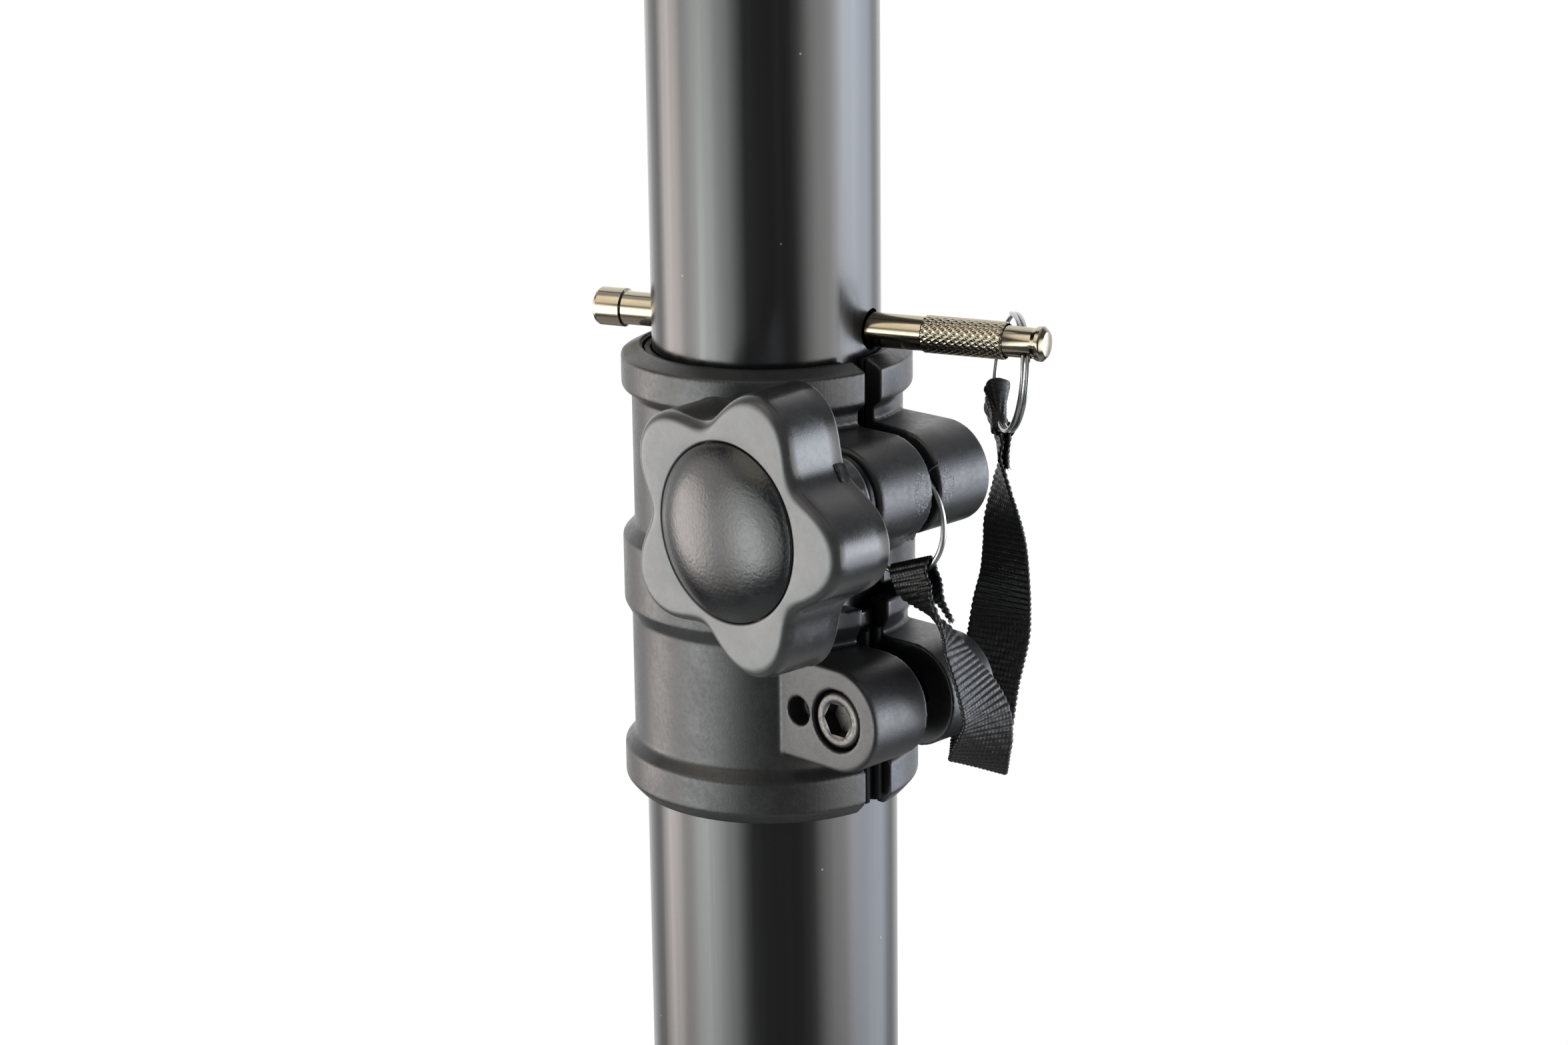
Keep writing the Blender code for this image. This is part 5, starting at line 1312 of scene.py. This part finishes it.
# %% [markdown]
# ## The socket cap screw
#
# The base clamp is pinched by a socket cap screw with its head in a counterbore. Its head is a few
# turned loops, and then come two six-sided ones, which sink the hexagonal socket.
# %% Socket cap screw
SCREW_FACE, SOCKET_FLATS, SCREW_SEGMENTS = 16.0, 5.5, 72


def hex_loop(flats, height, segments, place):
    """A hexagon with the same number of points as a round loop, so that faces can join the two."""
    points = []
    for i in range(segments):
        turn = 2 * math.pi * i / segments
        off_centre = (turn % math.radians(60.0)) - math.radians(30.0)
        radius = flats / 2 / math.cos(off_centre)
        points.append(place @ Vector((radius * math.cos(turn), radius * math.sin(turn), height)))
    return points


def screw_mesh():
    """The screw from its plain thread end to its face and down into the socket."""
    place = across_clamp(LOWER_AXIS)
    face_height = SCREW_FACE * MM
    turnings = [(2.6, -13.9), (3.0, -13.5), (3.0, 10.3), (4.9, 10.3), (5.0, 10.4), (5.0, 15.2),
                (4.85, 15.65), (4.5, 15.92), (4.2, 16.0), (3.5, 16.0), (3.35, 15.9)]
    loops = [ring_of(r * MM, z * MM, SCREW_SEGMENTS, place) for r, z in turnings]
    loops += [hex_loop(SOCKET_FLATS * MM, face_height - depth * MM, SCREW_SEGMENTS, place)
              for depth in (0.25, 2.9)]
    loops.append(ring_of(0.0, face_height - 3.4 * MM, SCREW_SEGMENTS, place))
    bm = bmesh.new()
    cover(bm, loops)
    return mesh_of(bm, "base_clamp_screw_turned", 35.0)


piece("base_clamp_screw_turned", screw_mesh(), worn_steel, "root", "black_oxide", "base_clamp_screw")


# %% [markdown]
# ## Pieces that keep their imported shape
#
# Legs, braces, rivets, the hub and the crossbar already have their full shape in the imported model. A
# copy of each gets its doubled points merged and its flat faces joined up, and a small bevel breaks
# its edges, so that they catch the light as enamelled and moulded edges do.
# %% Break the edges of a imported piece
BEVEL_STEPS, BEVEL_ANGLE = 2, 35.0


def softened(node, width):
    """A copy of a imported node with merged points, joined flat faces and bevelled edges."""
    bm = bmesh.new()
    bm.from_mesh(frame["nodes"][node].data)
    bmesh.ops.remove_doubles(bm, verts=bm.verts, dist=0.001 * MM)
    bmesh.ops.dissolve_limit(bm, angle_limit=math.radians(0.6), verts=bm.verts, edges=bm.edges)
    copy = linked(node + "_blank", mesh_of(bm, node + "_blank"))
    bevel = copy.modifiers.new("broken edges", "BEVEL")
    bevel.width = width * MM
    bevel.segments = BEVEL_STEPS
    bevel.limit_method = "ANGLE"
    bevel.angle_limit = math.radians(BEVEL_ANGLE)
    mesh = evaluated(copy, node + "_finished")
    discard(copy)
    mesh.shade_smooth()
    mesh.set_sharp_from_angle(angle=math.radians(40.0))
    return mesh


# %% Finish them by family
FAMILIES = [
    # nodes, finish, slot, width of the broken edge in millimetres
    (["leg_1", "leg_2", "leg_3", "brace_1", "brace_2", "brace_3"], enamel, "coated_steel", 0.35),
    (["tbar"], enamel, "coated_steel", 0.3),
    (["foot_1", "foot_2", "foot_3"], rubber, "rubber", 1.2),
    (["hub", "leg_collar"], clamp_nylon, "nylon", 0.4),
    (["tbar_cap_left", "tbar_cap_right", "base_plug", "mast_plug"], clamp_nylon, "nylon", 0.5),
    (["mast_bush"], liner_nylon, "liner", 0.15),
    (["clamp_key"], key_rubber, "liner", 0.35),
    (["leg_rivet_%d" % i for i in (1, 2, 3)], zinc, "zinc_plate", 0.3),
    (["brace_%d_rivet_%s" % (i, end) for i in (1, 2, 3) for end in ("outer", "inner")], zinc,
     "zinc_plate", 0.3),
    (["lamp_bolt_%d" % i for i in (1, 2, 3, 4)], zinc, "zinc_plate", 0.3),
    (["lamp_nut_%d" % i for i in (1, 2, 3, 4)], zinc, "zinc_plate", 0.3),
    (["clamp_nut", "base_clamp_nut"], zinc, "zinc_plate", 0.2),
    (["leg_knob_stud", "tbar_knob_stud"], zinc, "zinc_plate", 0.2),
    (["clamp_knob_stud", "hub_screw"], oxide, "black_oxide", 0.2),
    (["leg_knob_nut"], brass, "brass", 0.2),
]
node_body = {node: body for body, nodes in frame["record"]["behaviour"]["bodies"].items() for node in nodes}
# the clamp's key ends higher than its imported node: what lies in its foot is moved up
KEY_LIFT, KEY_FOOT = 2.4 * MM, 1.0 * MM
for nodes, finish, slot_name, width in FAMILIES:
    for node in nodes:
        mesh = softened(node, width)
        if node == "clamp_key":
            foot = min(vert.co.z for vert in mesh.vertices) + KEY_FOOT
            for vert in mesh.vertices:
                if vert.co.z < foot:
                    vert.co.z += KEY_LIFT
        piece(node + "_finished", mesh, finish, node_body[node], slot_name, node)

# %% [markdown]
# ## Last checks
#
# Every node must have its finish, so a node that is still shown is printed.
# %% Nodes that still show
for name, node in frame["nodes"].items():
    if not node.hide_render:
        print("still in its packed shape:", name)
